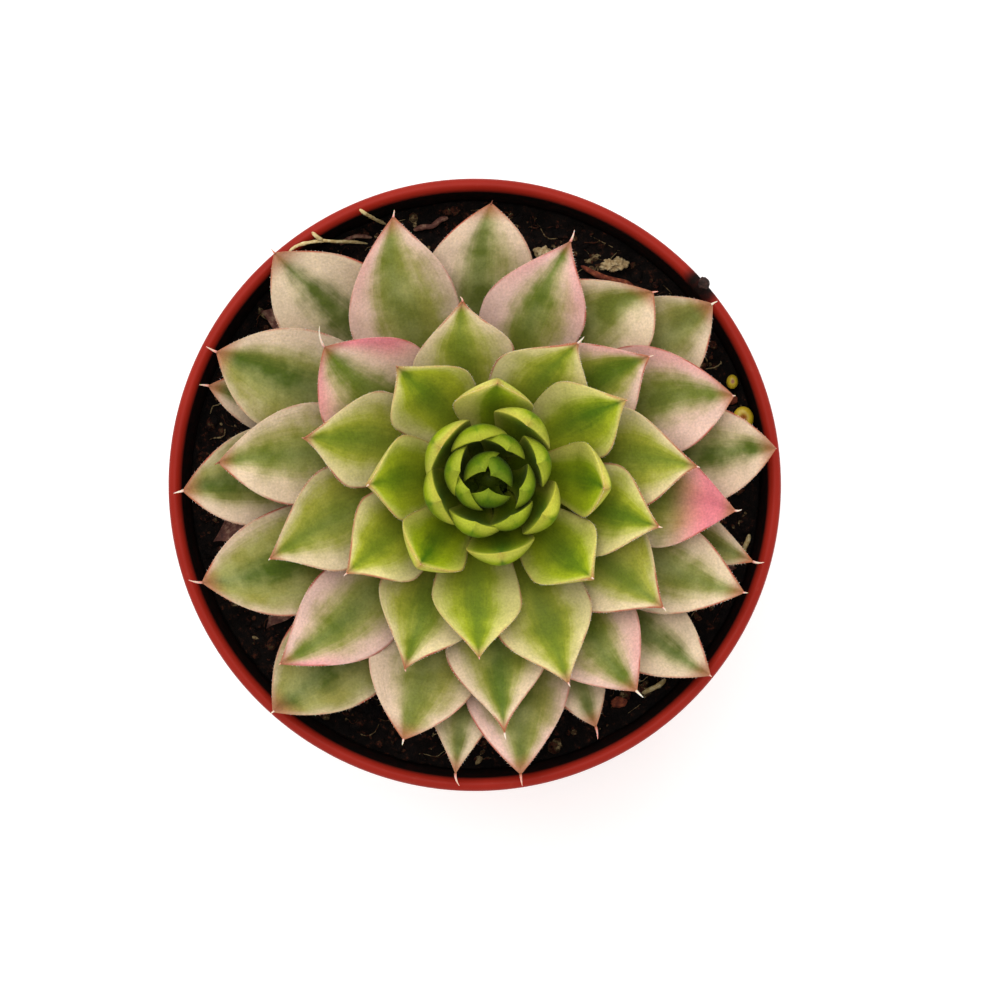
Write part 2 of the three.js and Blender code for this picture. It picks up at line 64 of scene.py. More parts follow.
def smooth_ramp(low: float | np.ndarray, high: float | np.ndarray, x: float | np.ndarray) -> np.ndarray:
    """A smooth step: 0 below low, 1 above high, and 3t^2 - 2t^3 between them."""
    t = np.clip((np.asarray(x, float) - low) / (high - low), 0.0, 1.0)
    return t * t * (3 - 2 * t)


def value_noise(points: np.ndarray, cell: float, seed: int) -> np.ndarray:
    """Smooth random values: numbers drawn on a cubic lattice, blended between its corners by smooth steps.

    Args:
        points: Places, with x, y and z along the last axis.
        cell: The lattice's spacing, in the same unit.
        seed: What the draw starts from.

    Returns:
        One value from -1 to 1 for each place.
    """
    size = 32
    lattice = np.random.default_rng(seed).uniform(-1, 1, (size, size, size))
    scaled = points / cell
    low = np.floor(scaled).astype(int)
    blend = scaled - low
    blend = blend * blend * (3 - 2 * blend)
    total = np.zeros(points.shape[:-1])
    for corner in np.ndindex(2, 2, 2):
        place = (low + corner) % size
        weight = np.prod(np.where(np.array(corner, bool), blend, 1 - blend), axis=-1)
        total += weight * lattice[place[..., 0], place[..., 1], place[..., 2]]
    return total


def layered_noise(
    points: np.ndarray, cells: tuple[float, ...], heights: tuple[float, ...], seed: int
) -> np.ndarray:
    """Several layers of value noise added up, each with its own cell and height.

    Args:
        points: Places, with x, y and z along the last axis.
        cells: Each layer's lattice spacing.
        heights: Each layer's height.
        seed: The first layer's seed; each further layer adds one.

    Returns:
        One value for each place.
    """
    layers = zip(cells, heights)
    return sum(height * value_noise(points, cell, seed + i) for i, (cell, height) in enumerate(layers))


def unit(vectors: np.ndarray) -> np.ndarray:
    """Vectors made one long, along the last axis."""
    return vectors / np.maximum(np.linalg.norm(vectors, axis=-1, keepdims=True), 1e-12)


def curve_through(knots: np.ndarray, count: int) -> np.ndarray:
    """Places along a Catmull-Rom curve: between two knots, the cubic whose slopes follow their neighbours.

    Args:
        knots: Points that the curve passes through.
        count: How many places to give.

    Returns:
        The places, evenly spaced in the curve's parameter.
    """
    padded = np.vstack([2 * knots[0] - knots[1], knots, 2 * knots[-1] - knots[-2]])
    t = np.linspace(0, len(knots) - 1, count)
    i = np.minimum(t.astype(int), len(knots) - 2)
    s = (t - i)[:, None]
    a, b, c, d = (padded[i + k] for k in range(4))
    return 0.5 * (2 * b + (c - a) * s + (2 * a - 5 * b + 4 * c - d) * s**2 + (3 * b - a - 3 * c + d) * s**3)


# ---- Meshes ------------------------------------------------------------------------------------


@dataclass
class Shell:
    """A closed surface, or many alike, as arrays: its points, its faces and what the points carry."""

    points: np.ndarray
    quads: np.ndarray
    triangles: np.ndarray
    across_along: np.ndarray | None = None
    attributes: dict[str, np.ndarray] = field(default_factory=dict)

    def facing_out(self) -> "Shell":
        """Turns the faces to point outwards, judged by the sign of the volume that they close.

        Returns:
            This shell.
        """
        halves = np.vstack([self.quads[:, [0, 1, 2]], self.quads[:, [0, 2, 3]], self.triangles])
        a, b, c = (self.points[halves[:, k]] for k in range(3))
        if np.einsum("ij,ij->", a, np.cross(b, c)) < 0:
            self.quads = self.quads[:, ::-1]
            self.triangles = self.triangles[:, ::-1]
        return self


def ringed_shell(rings: np.ndarray, first_pole: np.ndarray, last_pole: np.ndarray) -> Shell:
    """Closed shells from rings of points, one after another, with a pole that closes each end.

    Args:
        rings: Points as shells x rings x points round x 3.
        first_pole: The point before the first ring, as shells x 3.
        last_pole: The point after the last ring, as shells x 3.

    Returns:
        One shell that holds them all, with each one's points in the order rings, first pole, last pole.
    """
    count, stations, sides = rings.shape[:3]
    i, j = np.meshgrid(np.arange(stations - 1), np.arange(sides), indexing="ij")
    across = (j + 1) % sides
    quads = np.stack([i * sides + j, i * sides + across, (i + 1) * sides + across, (i + 1) * sides + j], -1)
    j = np.arange(sides)
    end = (stations - 1) * sides
    first = np.stack([np.full(sides, stations * sides), (j + 1) % sides, j], -1)
    last = np.stack([np.full(sides, stations * sides + 1), end + j, end + (j + 1) % sides], -1)
    stride = stations * sides + 2
    offset = (np.arange(count) * stride)[:, None, None]
    points = np.concatenate([rings.reshape(count, -1, 3), first_pole[:, None], last_pole[:, None]], axis=1)
    return Shell(
        points.reshape(-1, 3),
        (quads.reshape(1, -1, 4) + offset).reshape(-1, 4),
        (np.vstack([first, last])[None] + offset).reshape(-1, 3),
    ).facing_out()


def ringed_values(values: np.ndarray, first: np.ndarray, last: np.ndarray) -> np.ndarray:
    """What each point of a ringed shell carries, in its order of points.

    Args:
        values: Values on the rings, as shells x rings x points round, with any further axis.
        first: The first pole's value for each shell.
        last: The last pole's value for each shell.

    Returns:
        One row for each point.
    """
    count = len(values)
    tail = values.shape[3:]
    flat = values.reshape(count, -1, *tail)
    whole = np.concatenate([flat, first.reshape(count, 1, *tail), last.reshape(count, 1, *tail)], axis=1)
    return whole.reshape(-1, *tail)


def tubes(paths: np.ndarray, radii: np.ndarray, sides: int, flatness: float = 1.0) -> Shell:
    """Tubes along paths: at each step a ring of points square to the path, of the radius given there.

    Args:
        paths: Points as tubes x steps x 3.
        radii: Radius at each step, as tubes x steps.
        sides: Points round each tube.
        flatness: Height of the section as a share of its width.

    Returns:
        The closed tubes, with poles at the ends of each path.
    """
    ahead = unit(np.gradient(paths, axis=1))
    # The hair's breadth gives an upright path a level direction too.
    level = unit(np.cross(ahead, UP) + 1e-9)
    upper = np.cross(level, ahead)
    turn = 2 * np.pi * np.arange(sides) / sides
    ring = level[:, :, None] * np.cos(turn)[:, None] + flatness * upper[:, :, None] * np.sin(turn)[:, None]
    rings = paths[:, :, None] + radii[:, :, None, None] * ring
    return ringed_shell(rings, paths[:, 0], paths[:, -1])


def latitudes(rings: int, sides: int) -> np.ndarray:
    """Points of a ball of radius 1 on rings of latitude, from its top to its bottom, without its two poles.

    Args:
        rings: How many rings.
        sides: Points on each.

    Returns:
        The points, as rings x sides x 3.
    """
    polar = np.linspace(0, np.pi, rings + 2)[1:-1, None]
    turn = 2 * np.pi * np.arange(sides) / sides
    radius = np.sin(polar)
    return np.stack([radius * np.cos(turn), radius * np.sin(turn), np.cos(polar) + 0 * turn], -1)


def turned_shell(profile: np.ndarray, sides: int) -> Shell:
    """A body of revolution about the Z axis: each point of the profile makes a ring.

    Args:
        profile: Radius and height of each point, from one point on the axis to another.
        sides: Points round each ring.

    Returns:
        The closed shell.
    """
    turn = 2 * np.pi * np.arange(sides) / sides
    radius, height = profile[1:-1, :1], profile[1:-1, 1:]
    rings = np.stack([radius * np.cos(turn), radius * np.sin(turn), height + 0 * turn], -1)
    poles = np.array([[0, 0, profile[0, 1]], [0, 0, profile[-1, 1]]])
    return ringed_shell(rings[None], poles[:1], poles[1:])


def rounded_profile(corners: list[tuple[float, float, float]], steps: int = 5) -> np.ndarray:
    """A profile whose corners are rounded: each becomes a short quadratic curve from one side to the other.

    Args:
        corners: Radius, height and rounding of each corner; the first and last stay as they are.
        steps: Points on each rounded corner.

    Returns:
        Radius and height of each point.
    """
    knots = np.array(corners)
    place, rounding = knots[:, :2], knots[1:-1, 2:]
    back, on = place[:-2] - place[1:-1], place[2:] - place[1:-1]
    # A rounding takes up a little less than half of the side that it shares with the next.
    most = 0.48
    reach_back = np.minimum(rounding, most * np.linalg.norm(back, axis=1, keepdims=True))
    reach_on = np.minimum(rounding, most * np.linalg.norm(on, axis=1, keepdims=True))
    start = (place[1:-1] + unit(back) * reach_back)[:, None]
    end = (place[1:-1] + unit(on) * reach_on)[:, None]
    t = np.linspace(0, 1, steps)[None, :, None]
    curve = (1 - t) ** 2 * start + 2 * t * (1 - t) * place[1:-1][:, None] + t**2 * end
    return np.vstack([place[:1], curve.reshape(-1, 2), place[-1:]])


def to_object(name: str, shell: Shell, smooth: bool = True) -> bpy.types.Object:
    """Makes a Blender object of a shell, with its place in its mesh and the object at the origin.

    Args:
        name: The object's name.
        shell: The surface, in millimetres.
        smooth: Whether its faces are shaded as one smooth surface.

    Returns:
        The object, linked to the scene.
    """
    mesh = bpy.data.meshes.new(name)
    corners = np.concatenate([shell.quads.ravel(), shell.triangles.ravel()]).astype(np.int32)
    counts = np.repeat([4, 3], [len(shell.quads), len(shell.triangles)])
    mesh.vertices.add(len(shell.points))
    mesh.vertices.foreach_set("co", (shell.points * MM).astype(np.float32).ravel())
    mesh.loops.add(len(corners))
    mesh.loops.foreach_set("vertex_index", corners)
    mesh.polygons.add(len(counts))
    mesh.polygons.foreach_set("loop_start", (np.cumsum(counts) - counts).astype(np.int32))
    mesh.update(calc_edges=True)
    mesh.polygons.foreach_set("use_smooth", np.full(len(counts), smooth))
    if shell.across_along is not None:
        layer = mesh.uv_layers.new(name="AcrossAlong")
        layer.data.foreach_set("uv", shell.across_along[corners].astype(np.float32).ravel())
    for key, values in shell.attributes.items():
        attribute = mesh.attributes.new(key, "FLOAT", "POINT")
        attribute.data.foreach_set("value", values.astype(np.float32))
    mesh.update()
    made = bpy.data.objects.new(name, mesh)
    bpy.context.scene.collection.objects.link(made)
    return made


def install(piece: bpy.types.Object, finish: "Finish", slot: str, *nodes: str) -> bpy.types.Object:
    """Gives a piece its finish and ties it to the part.

    Args:
        piece: The piece, in place.
        finish: What it is made of.
        slot: The record's material slot; not used.
        nodes: The solids that the piece stands for.

    Returns:
        The piece.
    """
    piece.data.materials.clear()
    piece.data.materials.append(finish.material())
    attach(piece, BODY)
    if nodes:
        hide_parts(*nodes)
    LOG.info("%s: %d faces, %s", piece.name, len(piece.data.polygons), finish.name)
    return piece


# ---- Finishes ----------------------------------------------------------------------------------

Tree = bpy.types.NodeTree
Stops = tuple[tuple[float, str], ...]

# Settings that many nodes share.
COLOURS = {"data_type": "RGBA"}
SMOOTH = {"interpolation_type": "SMOOTHSTEP"}
SUM = {"operation": "ADD"}
DIFFERENCE = {"operation": "SUBTRACT"}
PRODUCT = {"operation": "MULTIPLY"}
PRODUCT_SUM = {"operation": "MULTIPLY_ADD"}
GREATER = {"operation": "MAXIMUM"}


def linear(colour: str) -> tuple[float, float, float, float]:
    """An sRGB hex colour as the linear colour that a shader takes."""
    channels = [int(colour[i : i + 2], 16) / 255 for i in (1, 3, 5)]
    return (*(c / 12.92 if c <= 0.04045 else ((c + 0.055) / 1.055) ** 2.4 for c in channels), 1.0)


def per_metre(size: float) -> float:
    """The texture scale whose pattern repeats about every size millimetres."""
    return 1 / (size * MM)


def feed(tree: Tree, node: bpy.types.Node, inputs: dict) -> None:
    """Links a node's inputs, or sets them.

    Args:
        tree: The material's node tree.
        node: The node.
        inputs: What each input takes, by name or number: an output, a node, which stands for its first
            output in use, or a constant.
    """
    for key, value in inputs.items():
        if isinstance(value, bpy.types.Node):
            value = next(output for output in value.outputs if output.enabled)
        if isinstance(value, bpy.types.NodeSocket):
            tree.links.new(value, node.inputs[key])
        else:
            node.inputs[key].default_value = value


def add(tree: Tree, kind: str, settings: dict | None = None, inputs: dict | None = None) -> bpy.types.Node:
    """Adds a node to a material.

    Args:
        tree: The material's node tree.
        kind: The node's type, without ShaderNode in front.
        settings: Properties of the node; stops are the positions and colours of a colour ramp.
        inputs: What its inputs take.

    Returns:
        The node.
    """
    node = tree.nodes.new("ShaderNode" + kind)
    for key, value in (settings or {}).items():
        if key == "stops":
            while len(node.color_ramp.elements) < len(value):
                node.color_ramp.elements.new(0.5)
            for element, (position, colour) in zip(node.color_ramp.elements, value):
                element.position = position
                element.color = linear(colour)
        else:
            setattr(node, key, value)
    feed(tree, node, inputs or {})
    return node


@dataclass(frozen=True)
class Finish(ABC):
    """A real material and how its surface was made."""

    name: str
    roughness: float
    ior: float

    def material(self) -> bpy.types.Material:
        """The Blender material, made the first time it is asked for.

        Returns:
            The material.
        """
        known = bpy.data.materials.get(self.name)
        if known:
            return known
        made = bpy.data.materials.new(self.name)
        made.use_nodes = True
        tree = made.node_tree
        tree.nodes.clear()
        surface = add(tree, "BsdfPrincipled", inputs={"Roughness": self.roughness, "IOR": self.ior})
        add(tree, "OutputMaterial", inputs={"Surface": surface})
        feed(tree, surface, self.paint(tree))
        return made

    @abstractmethod
    def paint(self, tree: Tree) -> dict:
        """Adds the nodes that give the surface its colour and relief.

        Args:
            tree: The material's node tree.

        Returns:
            What the inputs of its Principled shader take, by name.
        """


@dataclass(frozen=True)
class MouldedPolypropylene(Finish):
    """Injection-moulded polypropylene, coloured terracotta red: an even satin skin with faint flow marks,
    scuffs that show paler, and on the inside a dark film, peat dust low down and painted shade under the
    bead, with a dark patch round the rim's crumb."""

    name: str = "moulded_polypropylene"
    roughness: float = 0.48
    ior: float = 1.49
    red: str = "#9c2416"
    deep_red: str = "#83180d"
    scuffed: str = "#b4543f"
    # The inside's dark film: peat dust, and painted shade high up under the bead.
    peat_and_shade_film: str = "#150b08"
    flow_mark: float = 9.0
    scuff: float = 2.2
    scuff_flatness: float = 5.0
    splash: float = 1.3
    grain: float = 0.35
    grain_depth: float = 0.03
    film_roughness: float = 0.85
    # The film reaches right up under the bead, where it is painted shade rather than peat.
    film_top: float = 69.9
    film_full: float = 68.8
    # The dark film of peat dust and painted shade lies inside these radii at these heights: a little outside
    # the collar's inner face.
    film_foot: tuple[float, float] = (55.0, 39.8)
    film_head: tuple[float, float] = (67.4, 41.6)
    # Where the dark patch round the rim's crumb is, how far it reaches, and its darkest core.
    dark_patch_place: tuple[float, float, float] = (31.2, 27.4, 70.0)
    dark_patch_radius: float = 3.6
    dark_patch_core: float = 1.6

    def plastic(self, tree: Tree, place: bpy.types.NodeSocket) -> bpy.types.Node:
        """The plastic's own red, in cloudy flow marks, with pale scuffs that run level.

        Args:
            tree: The material's node tree.
            place: Where on the pot.

        Returns:
            The colour.
        """
        flow = add(
            tree, "TexNoise", inputs={"Vector": place, "Scale": per_metre(self.flow_mark), "Detail": 3.0}
        )
        body = add(tree, "Mix", COLOURS, {0: flow, 6: linear(self.red), 7: linear(self.deep_red)})
        level = add(tree, "Mapping", inputs={"Vector": place, "Scale": (1.0, 1.0, self.scuff_flatness)})
        scuff = add(
            tree,
            "TexNoise",
            inputs={"Vector": level, "Scale": per_metre(self.scuff), "Detail": 6.0, "Roughness": 0.7},
        )
        scuffs = add(
            tree, "MapRange", inputs={"Value": scuff, "From Min": 0.6, "From Max": 0.82, "To Max": 0.3}
        )
        return add(tree, "Mix", COLOURS, {0: scuffs, 6: body, 7: linear(self.scuffed)})

    def dirt_and_painted_shade(self, tree: Tree, place: bpy.types.NodeSocket) -> bpy.types.Node:
        """How dark the pot is made: a film on the wall's inside, peat dust low down and painted shade under
        the bead, and a dark patch round the rim's crumb.

        Args:
            tree: The material's node tree.
            place: Where on the pot.

        Returns:
            The share of the plastic that it hides.
        """
        at = add(tree, "SeparateXYZ", inputs={"Vector": place}).outputs
        flat = add(tree, "CombineXYZ", inputs={0: at[0], 1: at[1]})
        radius = add(tree, "VectorMath", {"operation": "LENGTH"}, {0: flat})
        foot_z, foot_radius = (value * MM for value in self.film_foot)
        head_z, head_radius = (value * MM for value in self.film_head)
        wall = add(
            tree,
            "MapRange",
            inputs={
                "Value": at[2], "From Min": foot_z, "From Max": head_z,
                "To Min": foot_radius, "To Max": head_radius,
            },
        )
        inward = add(tree, "Math", {"operation": "LESS_THAN"}, {0: radius, 1: wall})
        above = add(tree, "Math", {"operation": "GREATER_THAN"}, {0: at[2], 1: foot_z})
        top, full = self.film_top * MM, self.film_full * MM
        below = add(tree, "MapRange", SMOOTH, {"Value": at[2], "From Min": top, "From Max": full})
        splash = add(
            tree,
            "TexNoise",
            inputs={"Vector": place, "Scale": per_metre(self.splash), "Detail": 5.0, "Roughness": 0.65},
        )
        patchy = add(
            tree, "MapRange", inputs={"Value": splash, "From Min": 0.36, "From Max": 0.56, "To Min": 0.94}
        )
        # Painted shade and peat dust: the dark film inside the wall, up under the bead.
        film = inward
        for share in (above, below, patchy):
            film = add(tree, "Math", PRODUCT, {0: film, 1: share})
        # A dark patch round the rim's crumb, darkest at its middle.
        centre = tuple(value * MM for value in self.dark_patch_place)
        away = add(tree, "VectorMath", {"operation": "DISTANCE"}, {0: place, 1: centre})
        reach, core = self.dark_patch_radius * MM, self.dark_patch_core * MM
        near = add(tree, "MapRange", SMOOTH, {"Value": away, "From Min": reach, "From Max": core})
        dark_patch = add(tree, "Math", PRODUCT, {0: near, 1: patchy})
        return add(tree, "Math", GREATER, {0: film, 1: dark_patch})

    def paint(self, tree: Tree) -> dict:
        """Red plastic under the dark film of peat dust and painted shade, which is darker and duller, with a
        very fine grain.

        Args:
            tree: The material's node tree.

        Returns:
            What the inputs of its Principled shader take, by name.
        """
        place = add(tree, "TexCoord").outputs["Object"]
        plastic, dirt_and_painted_shade = self.plastic(tree, place), self.dirt_and_painted_shade(tree, place)
        # The plastic darkened by the film of peat dust and painted shade.
        colour = add(tree, "Mix", COLOURS, {0: dirt_and_painted_shade, 6: plastic, 7: linear(self.peat_and_shade_film)})
        dull = add(
            tree, "MapRange", inputs={"Value": dirt_and_painted_shade, "To Min": self.roughness, "To Max": self.film_roughness}
        )
        grain = add(tree, "TexNoise", inputs={"Vector": place, "Scale": per_metre(self.grain), "Detail": 2.0})
        relief = add(
            tree, "Bump", inputs={"Strength": 0.25, "Distance": self.grain_depth * MM, "Height": grain}
        )
        return {"Base Color": colour, "Roughness": dull, "Normal": relief, "Specular IOR Level": 0.12}


@dataclass(frozen=True)
class Peat(Finish):
    """Damp milled peat: nearly black, with red-brown and grey-green bits and a crumbly, dull surface."""

    name: str = "milled_peat"
    roughness: float = 0.9
    ior: float = 1.4
    grain: float = 1.1
    grain_depth: float = 0.4
    shades: Stops = (
        (0.0, "#080504"), (0.42, "#130b08"), (0.58, "#2b170f"), (0.7, "#5c2c1e"),
        (0.8, "#34351f"), (0.9, "#6b5238"), (1.0, "#a08a62"),
    )

    def paint(self, tree: Tree) -> dict:
        """The shade follows fine noise, shifted by each crumb's own tint.

        Args:
            tree: The material's node tree.

        Returns:
            What the inputs of its Principled shader take, by name.
        """
        place = add(tree, "TexCoord").outputs["Object"]
        grains = add(
            tree,
            "TexNoise",
            inputs={"Vector": place, "Scale": per_metre(self.grain), "Detail": 7.0, "Roughness": 0.72},
        )
        tint = add(tree, "Attribute", {"attribute_name": "tint"}).outputs["Fac"]
        spread = add(tree, "MapRange", inputs={"Value": grains, "From Min": 0.3, "From Max": 0.75})
        shade = add(tree, "Math", SUM, {0: spread, 1: tint})
        colour = add(tree, "ValToRGB", {"stops": self.shades}, {0: shade})
        relief = add(
            tree, "Bump", inputs={"Strength": 1.0, "Distance": self.grain_depth * MM, "Height": grains}
        )
        return {"Base Color": colour, "Normal": relief, "Specular IOR Level": 0.25}


@dataclass(frozen=True)
class LeafMap:
    """What the colours of a leaf follow: how far along the blade and how far from its midrib, the numbers
    that its surface carries, and noises from coarse to fine."""

    along: bpy.types.NodeSocket
    spread: bpy.types.Node
    own: dict[str, bpy.types.NodeSocket]
    patch: bpy.types.Node
    cloud: bpy.types.Node
    fine: bpy.types.Node
    veins: bpy.types.Node


@dataclass(frozen=True)
class HouseleekSkin(Finish):
    """The live skin of a houseleek leaf: fleshy, waxy and very finely downy. Green in the middle with a
    darker stripe towards the tip, cream to pink margins, and a thin red-brown edge."""

    name: str = "houseleek_skin"
    roughness: float = 0.5
    ior: float = 1.42
    middle: Stops = (
        (0.0, "#466404"), (0.09, "#5c7a02"), (0.25, "#446a06"), (0.5, "#48660a"), (0.75, "#4c5e12"),
        (1.0, "#4c581c"),
    )
    side: Stops = (
        (0.0, "#4e6c04"), (0.09, "#748a06"), (0.18, "#7e9008"), (0.28, "#9eae14"), (0.42, "#a6a82c"),
        (0.62, "#98943c"), (1.0, "#888248"),
    )
    margin: Stops = (
        (0.0, "#7a8c1c"), (0.09, "#a6ae30"), (0.18, "#b6b83c"), (0.28, "#d6d064"), (0.38, "#d6ca84"),
        (0.55, "#d8c49e"), (1.0, "#ccb89a"),
    )
    rosy_margin: str = "#dcb4aa"
    bloom: str = "#9a9a64"
    blush: str = "#dc7684"
    edge: str = "#a04a38"
    tip: str = "#9c6040"
    underside: str = "#a89c74"
    # Sizes of the patches, of the clouds in them and of the down, then how deep veins and down are.
    patch: float = 4.5
    cloud: float = 1.5
    down: float = 0.32
    vein_depth: float = 0.12
    down_depth: float = 0.05
    # Distances from the edge within which every leaf turns pale and an older one has a red-brown line.
    rim_width: float = 1.2
    line_width: float = 0.42
    line_core: float = 0.04

    def reading(self, tree: Tree) -> LeafMap:
        """Reads the blade's map, its numbers and the noises.

        Args:
            tree: The material's node tree.

        Returns:
            What the colours follow.
        """
        place = add(tree, "TexCoord").outputs["Object"]
        chart = add(tree, "UVMap", {"uv_map": "AcrossAlong"}).outputs[0]
        blade = add(tree, "SeparateXYZ", inputs={"Vector": chart}).outputs
        offset = add(tree, "Math", DIFFERENCE, {0: blade[0], 1: 0.5})
        across = add(tree, "Math", {"operation": "ABSOLUTE"}, {0: offset})
        own = {
            key: add(tree, "Attribute", {"attribute_name": key}).outputs["Fac"]
            for key in ("age", "rosy", "blush", "edge", "below", "breadth", "streak")
        }
        patch = add(tree, "TexNoise", inputs={"Vector": place, "Scale": per_metre(self.patch), "Detail": 3.0})
        cloud = add(tree, "TexNoise", inputs={"Vector": place, "Scale": per_metre(self.cloud), "Detail": 4.0})
        fine = add(
            tree,
            "TexNoise",
            inputs={"Vector": place, "Scale": per_metre(self.down), "Detail": 3.0, "Roughness": 0.6},
        )
        lengthwise = add(tree, "Mapping", inputs={"Vector": chart, "Scale": (30.0, 2.0, 1.0)})
        veins = add(tree, "TexNoise", inputs={"Vector": lengthwise, "Scale": 1.0, "Detail": 2.0})
        # How far from the midrib, 0 to 1, with its line stirred by three noises that each average a half.
        spread = -0.5
        for noise, share in ((veins, 0.22), (cloud, 0.26), (patch, 0.52), (across, 2.0)):
            spread = add(tree, "Math", PRODUCT_SUM, {0: noise, 1: share, 2: spread})
        return LeafMap(blade[1], spread, own, patch, cloud, fine, veins)

    def paleness(self, tree: Tree, on: LeafMap) -> bpy.types.Node:
        """How much of the pale margin there is: narrow in the heart, broad on an old leaf and broader still
        near its tip, and on every leaf a thin rim.

        Args:
            tree: The material's node tree.
            on: What the colours follow.

        Returns:
            The margin's share of the colour.
        """
        age = on.own["age"]
        outward = add(tree, "MapRange", SMOOTH, {"Value": on.along, "From Min": 0.5, "From Max": 0.95})
        low_bound = add(
            tree,
            "MapRange",
            inputs={"Value": age, "From Min": 0.1, "From Max": 0.38, "To Min": 0.7, "To Max": 0.36},
        )
        tip_bound = add(
            tree,
            "MapRange",
            inputs={"Value": age, "From Min": 0.2, "From Max": 0.55, "To Min": 0.56, "To Max": 0.14},
        )
        bound = add(tree, "Mix", {"data_type": "FLOAT"}, {0: outward, 2: low_bound, 3: tip_bound})
        inner = add(tree, "Math", DIFFERENCE, {0: bound, 1: on.own["breadth"]})
        outer = add(tree, "Math", SUM, {0: inner, 1: 0.66})
        banded = add(tree, "MapRange", SMOOTH, {"Value": on.spread, "From Min": inner, "From Max": outer})
        rimmed = add(
            tree,
            "MapRange",
            SMOOTH,
            {"Value": on.own["edge"], "From Min": self.rim_width, "From Max": 0.0, "To Max": 0.7},
        )
        return add(tree, "Math", GREATER, {0: banded, 1: rimmed})

    def stripe(self, tree: Tree, on: LeafMap) -> bpy.types.Node:
        """How much of the darker middle there is: a stripe along the midrib, stronger towards the tip.

        Args:
            tree: The material's node tree.
            on: What the colours follow.

        Returns:
            The middle's share of the green.
        """
        core = add(tree, "MapRange", SMOOTH, {"Value": on.spread, "From Min": 0.58, "From Max": 0.0})
        forward = add(tree, "MapRange", SMOOTH, {"Value": on.along, "From Min": 0.25, "From Max": 0.7})
        reaching = add(tree, "Math", PRODUCT, {0: forward, 1: on.own["streak"]})
        share = add(tree, "Math", PRODUCT_SUM, {0: reaching, 1: 0.6, 2: 0.4})
        return add(tree, "Math", PRODUCT, {0: core, 1: share})

    def face(self, tree: Tree, on: LeafMap) -> bpy.types.Node:
        """The blade's colours by age: green with its stripe and the grey bloom of older leaves, the pale
        margin, the paler underside of older leaves, and pink patches.

        Args:
            tree: The material's node tree.
            on: What the colours follow.

        Returns:
            The colour.
        """
        age = on.own["age"]
        ramps = (self.side, self.middle, self.margin)
        side, middle, margin = (add(tree, "ValToRGB", {"stops": stops}, {0: age}) for stops in ramps)
        green = add(tree, "Mix", COLOURS, {0: self.stripe(tree, on), 6: side, 7: middle})
        blotch = add(
            tree, "MapRange", inputs={"Value": on.patch, "From Min": 0.4, "From Max": 0.66, "To Max": 0.5}
        )
        waxen = add(tree, "MapRange", inputs={"Value": age, "From Min": 0.4, "From Max": 0.75})
        bloomed = add(tree, "Math", PRODUCT, {0: blotch, 1: waxen})
        greyed = add(tree, "Mix", COLOURS, {0: bloomed, 6: green, 7: linear(self.bloom)})
        rosier = add(tree, "Mix", COLOURS, {0: on.own["rosy"], 6: margin, 7: linear(self.rosy_margin)})
        variegated = add(tree, "Mix", COLOURS, {0: self.paleness(tree, on), 6: greyed, 7: rosier})
        old_back = add(
            tree, "MapRange", inputs={"Value": age, "From Min": 0.25, "From Max": 0.6, "To Max": 0.5}
        )
        paler = add(tree, "Math", PRODUCT, {0: on.own["below"], 1: old_back})
        turned = add(tree, "Mix", COLOURS, {0: paler, 6: variegated, 7: linear(self.underside)})
        return add(tree, "Mix", COLOURS, {0: on.own["blush"], 6: turned, 7: linear(self.blush)})

    def outlined(self, tree: Tree, on: LeafMap, face: bpy.types.Node) -> bpy.types.Node:
        """The blade with the red-brown line along its edge, broken up by patches, and its brown tip. The
        youngest leaves have neither.

        Args:
            tree: The material's node tree.
            on: What the colours follow.
            face: The blade's colour.

        Returns:
            The colour.
        """
        older = add(tree, "MapRange", inputs={"Value": on.own["age"], "From Min": 0.15, "From Max": 0.45})
        broken = add(
            tree, "MapRange", inputs={"Value": on.patch, "From Min": 0.4, "From Max": 0.62, "To Min": 0.1}
        )
        faded = add(tree, "Math", PRODUCT, {0: older, 1: broken})
        line = add(
            tree,
            "MapRange",
            SMOOTH,
            {"Value": on.own["edge"], "From Min": self.line_width, "From Max": self.line_core},
        )
        lined = add(tree, "Math", PRODUCT, {0: line, 1: faded})
        edged = add(tree, "Mix", COLOURS, {0: lined, 6: face, 7: linear(self.edge)})
        end = add(
            tree, "MapRange", SMOOTH, {"Value": on.along, "From Min": 0.9, "From Max": 0.99, "To Max": 0.85}
        )
        ended = add(tree, "Math", PRODUCT, {0: end, 1: older})
        return add(tree, "Mix", COLOURS, {0: ended, 6: edged, 7: linear(self.tip)})

    def light(self, tree: Tree, on: LeafMap) -> bpy.types.Node:
        """How light the colours are: mottled finely and broadly, and with painted shade that darkens a blade
        towards its foot, the more so the younger it is.

        Args:
            tree: The material's node tree.
            on: What the colours follow.

        Returns:
            What the colour is multiplied by.
        """
        mottle = add(
            tree,
            "MapRange",
            inputs={"Value": on.fine, "From Min": 0.25, "From Max": 0.75, "To Min": 0.82, "To Max": 1.18},
        )
        broad = add(
            tree,
            "MapRange",
            inputs={"Value": on.patch, "From Min": 0.3, "From Max": 0.7, "To Min": 0.88, "To Max": 1.12},
        )
        mottled = add(tree, "Math", PRODUCT, {0: mottle, 1: broad})
        # Painted shade: the blade darkens towards its foot, deep among the leaves over it, the more so in the
        # heart.
        low = add(tree, "MapRange", SMOOTH, {"Value": on.along, "From Min": 0.85, "From Max": 0.5})
        painted_shade_strength = add(
            tree,
            "MapRange",
            inputs={"Value": on.own["age"], "From Min": 0.16, "From Max": 0.5, "To Min": 0.55, "To Max": 0.3},
        )
        sunk = add(tree, "Math", PRODUCT, {0: low, 1: painted_shade_strength})
        lit = add(tree, "Math", DIFFERENCE, {0: 1.0, 1: sunk})
        return add(tree, "Math", PRODUCT, {0: mottled, 1: lit})

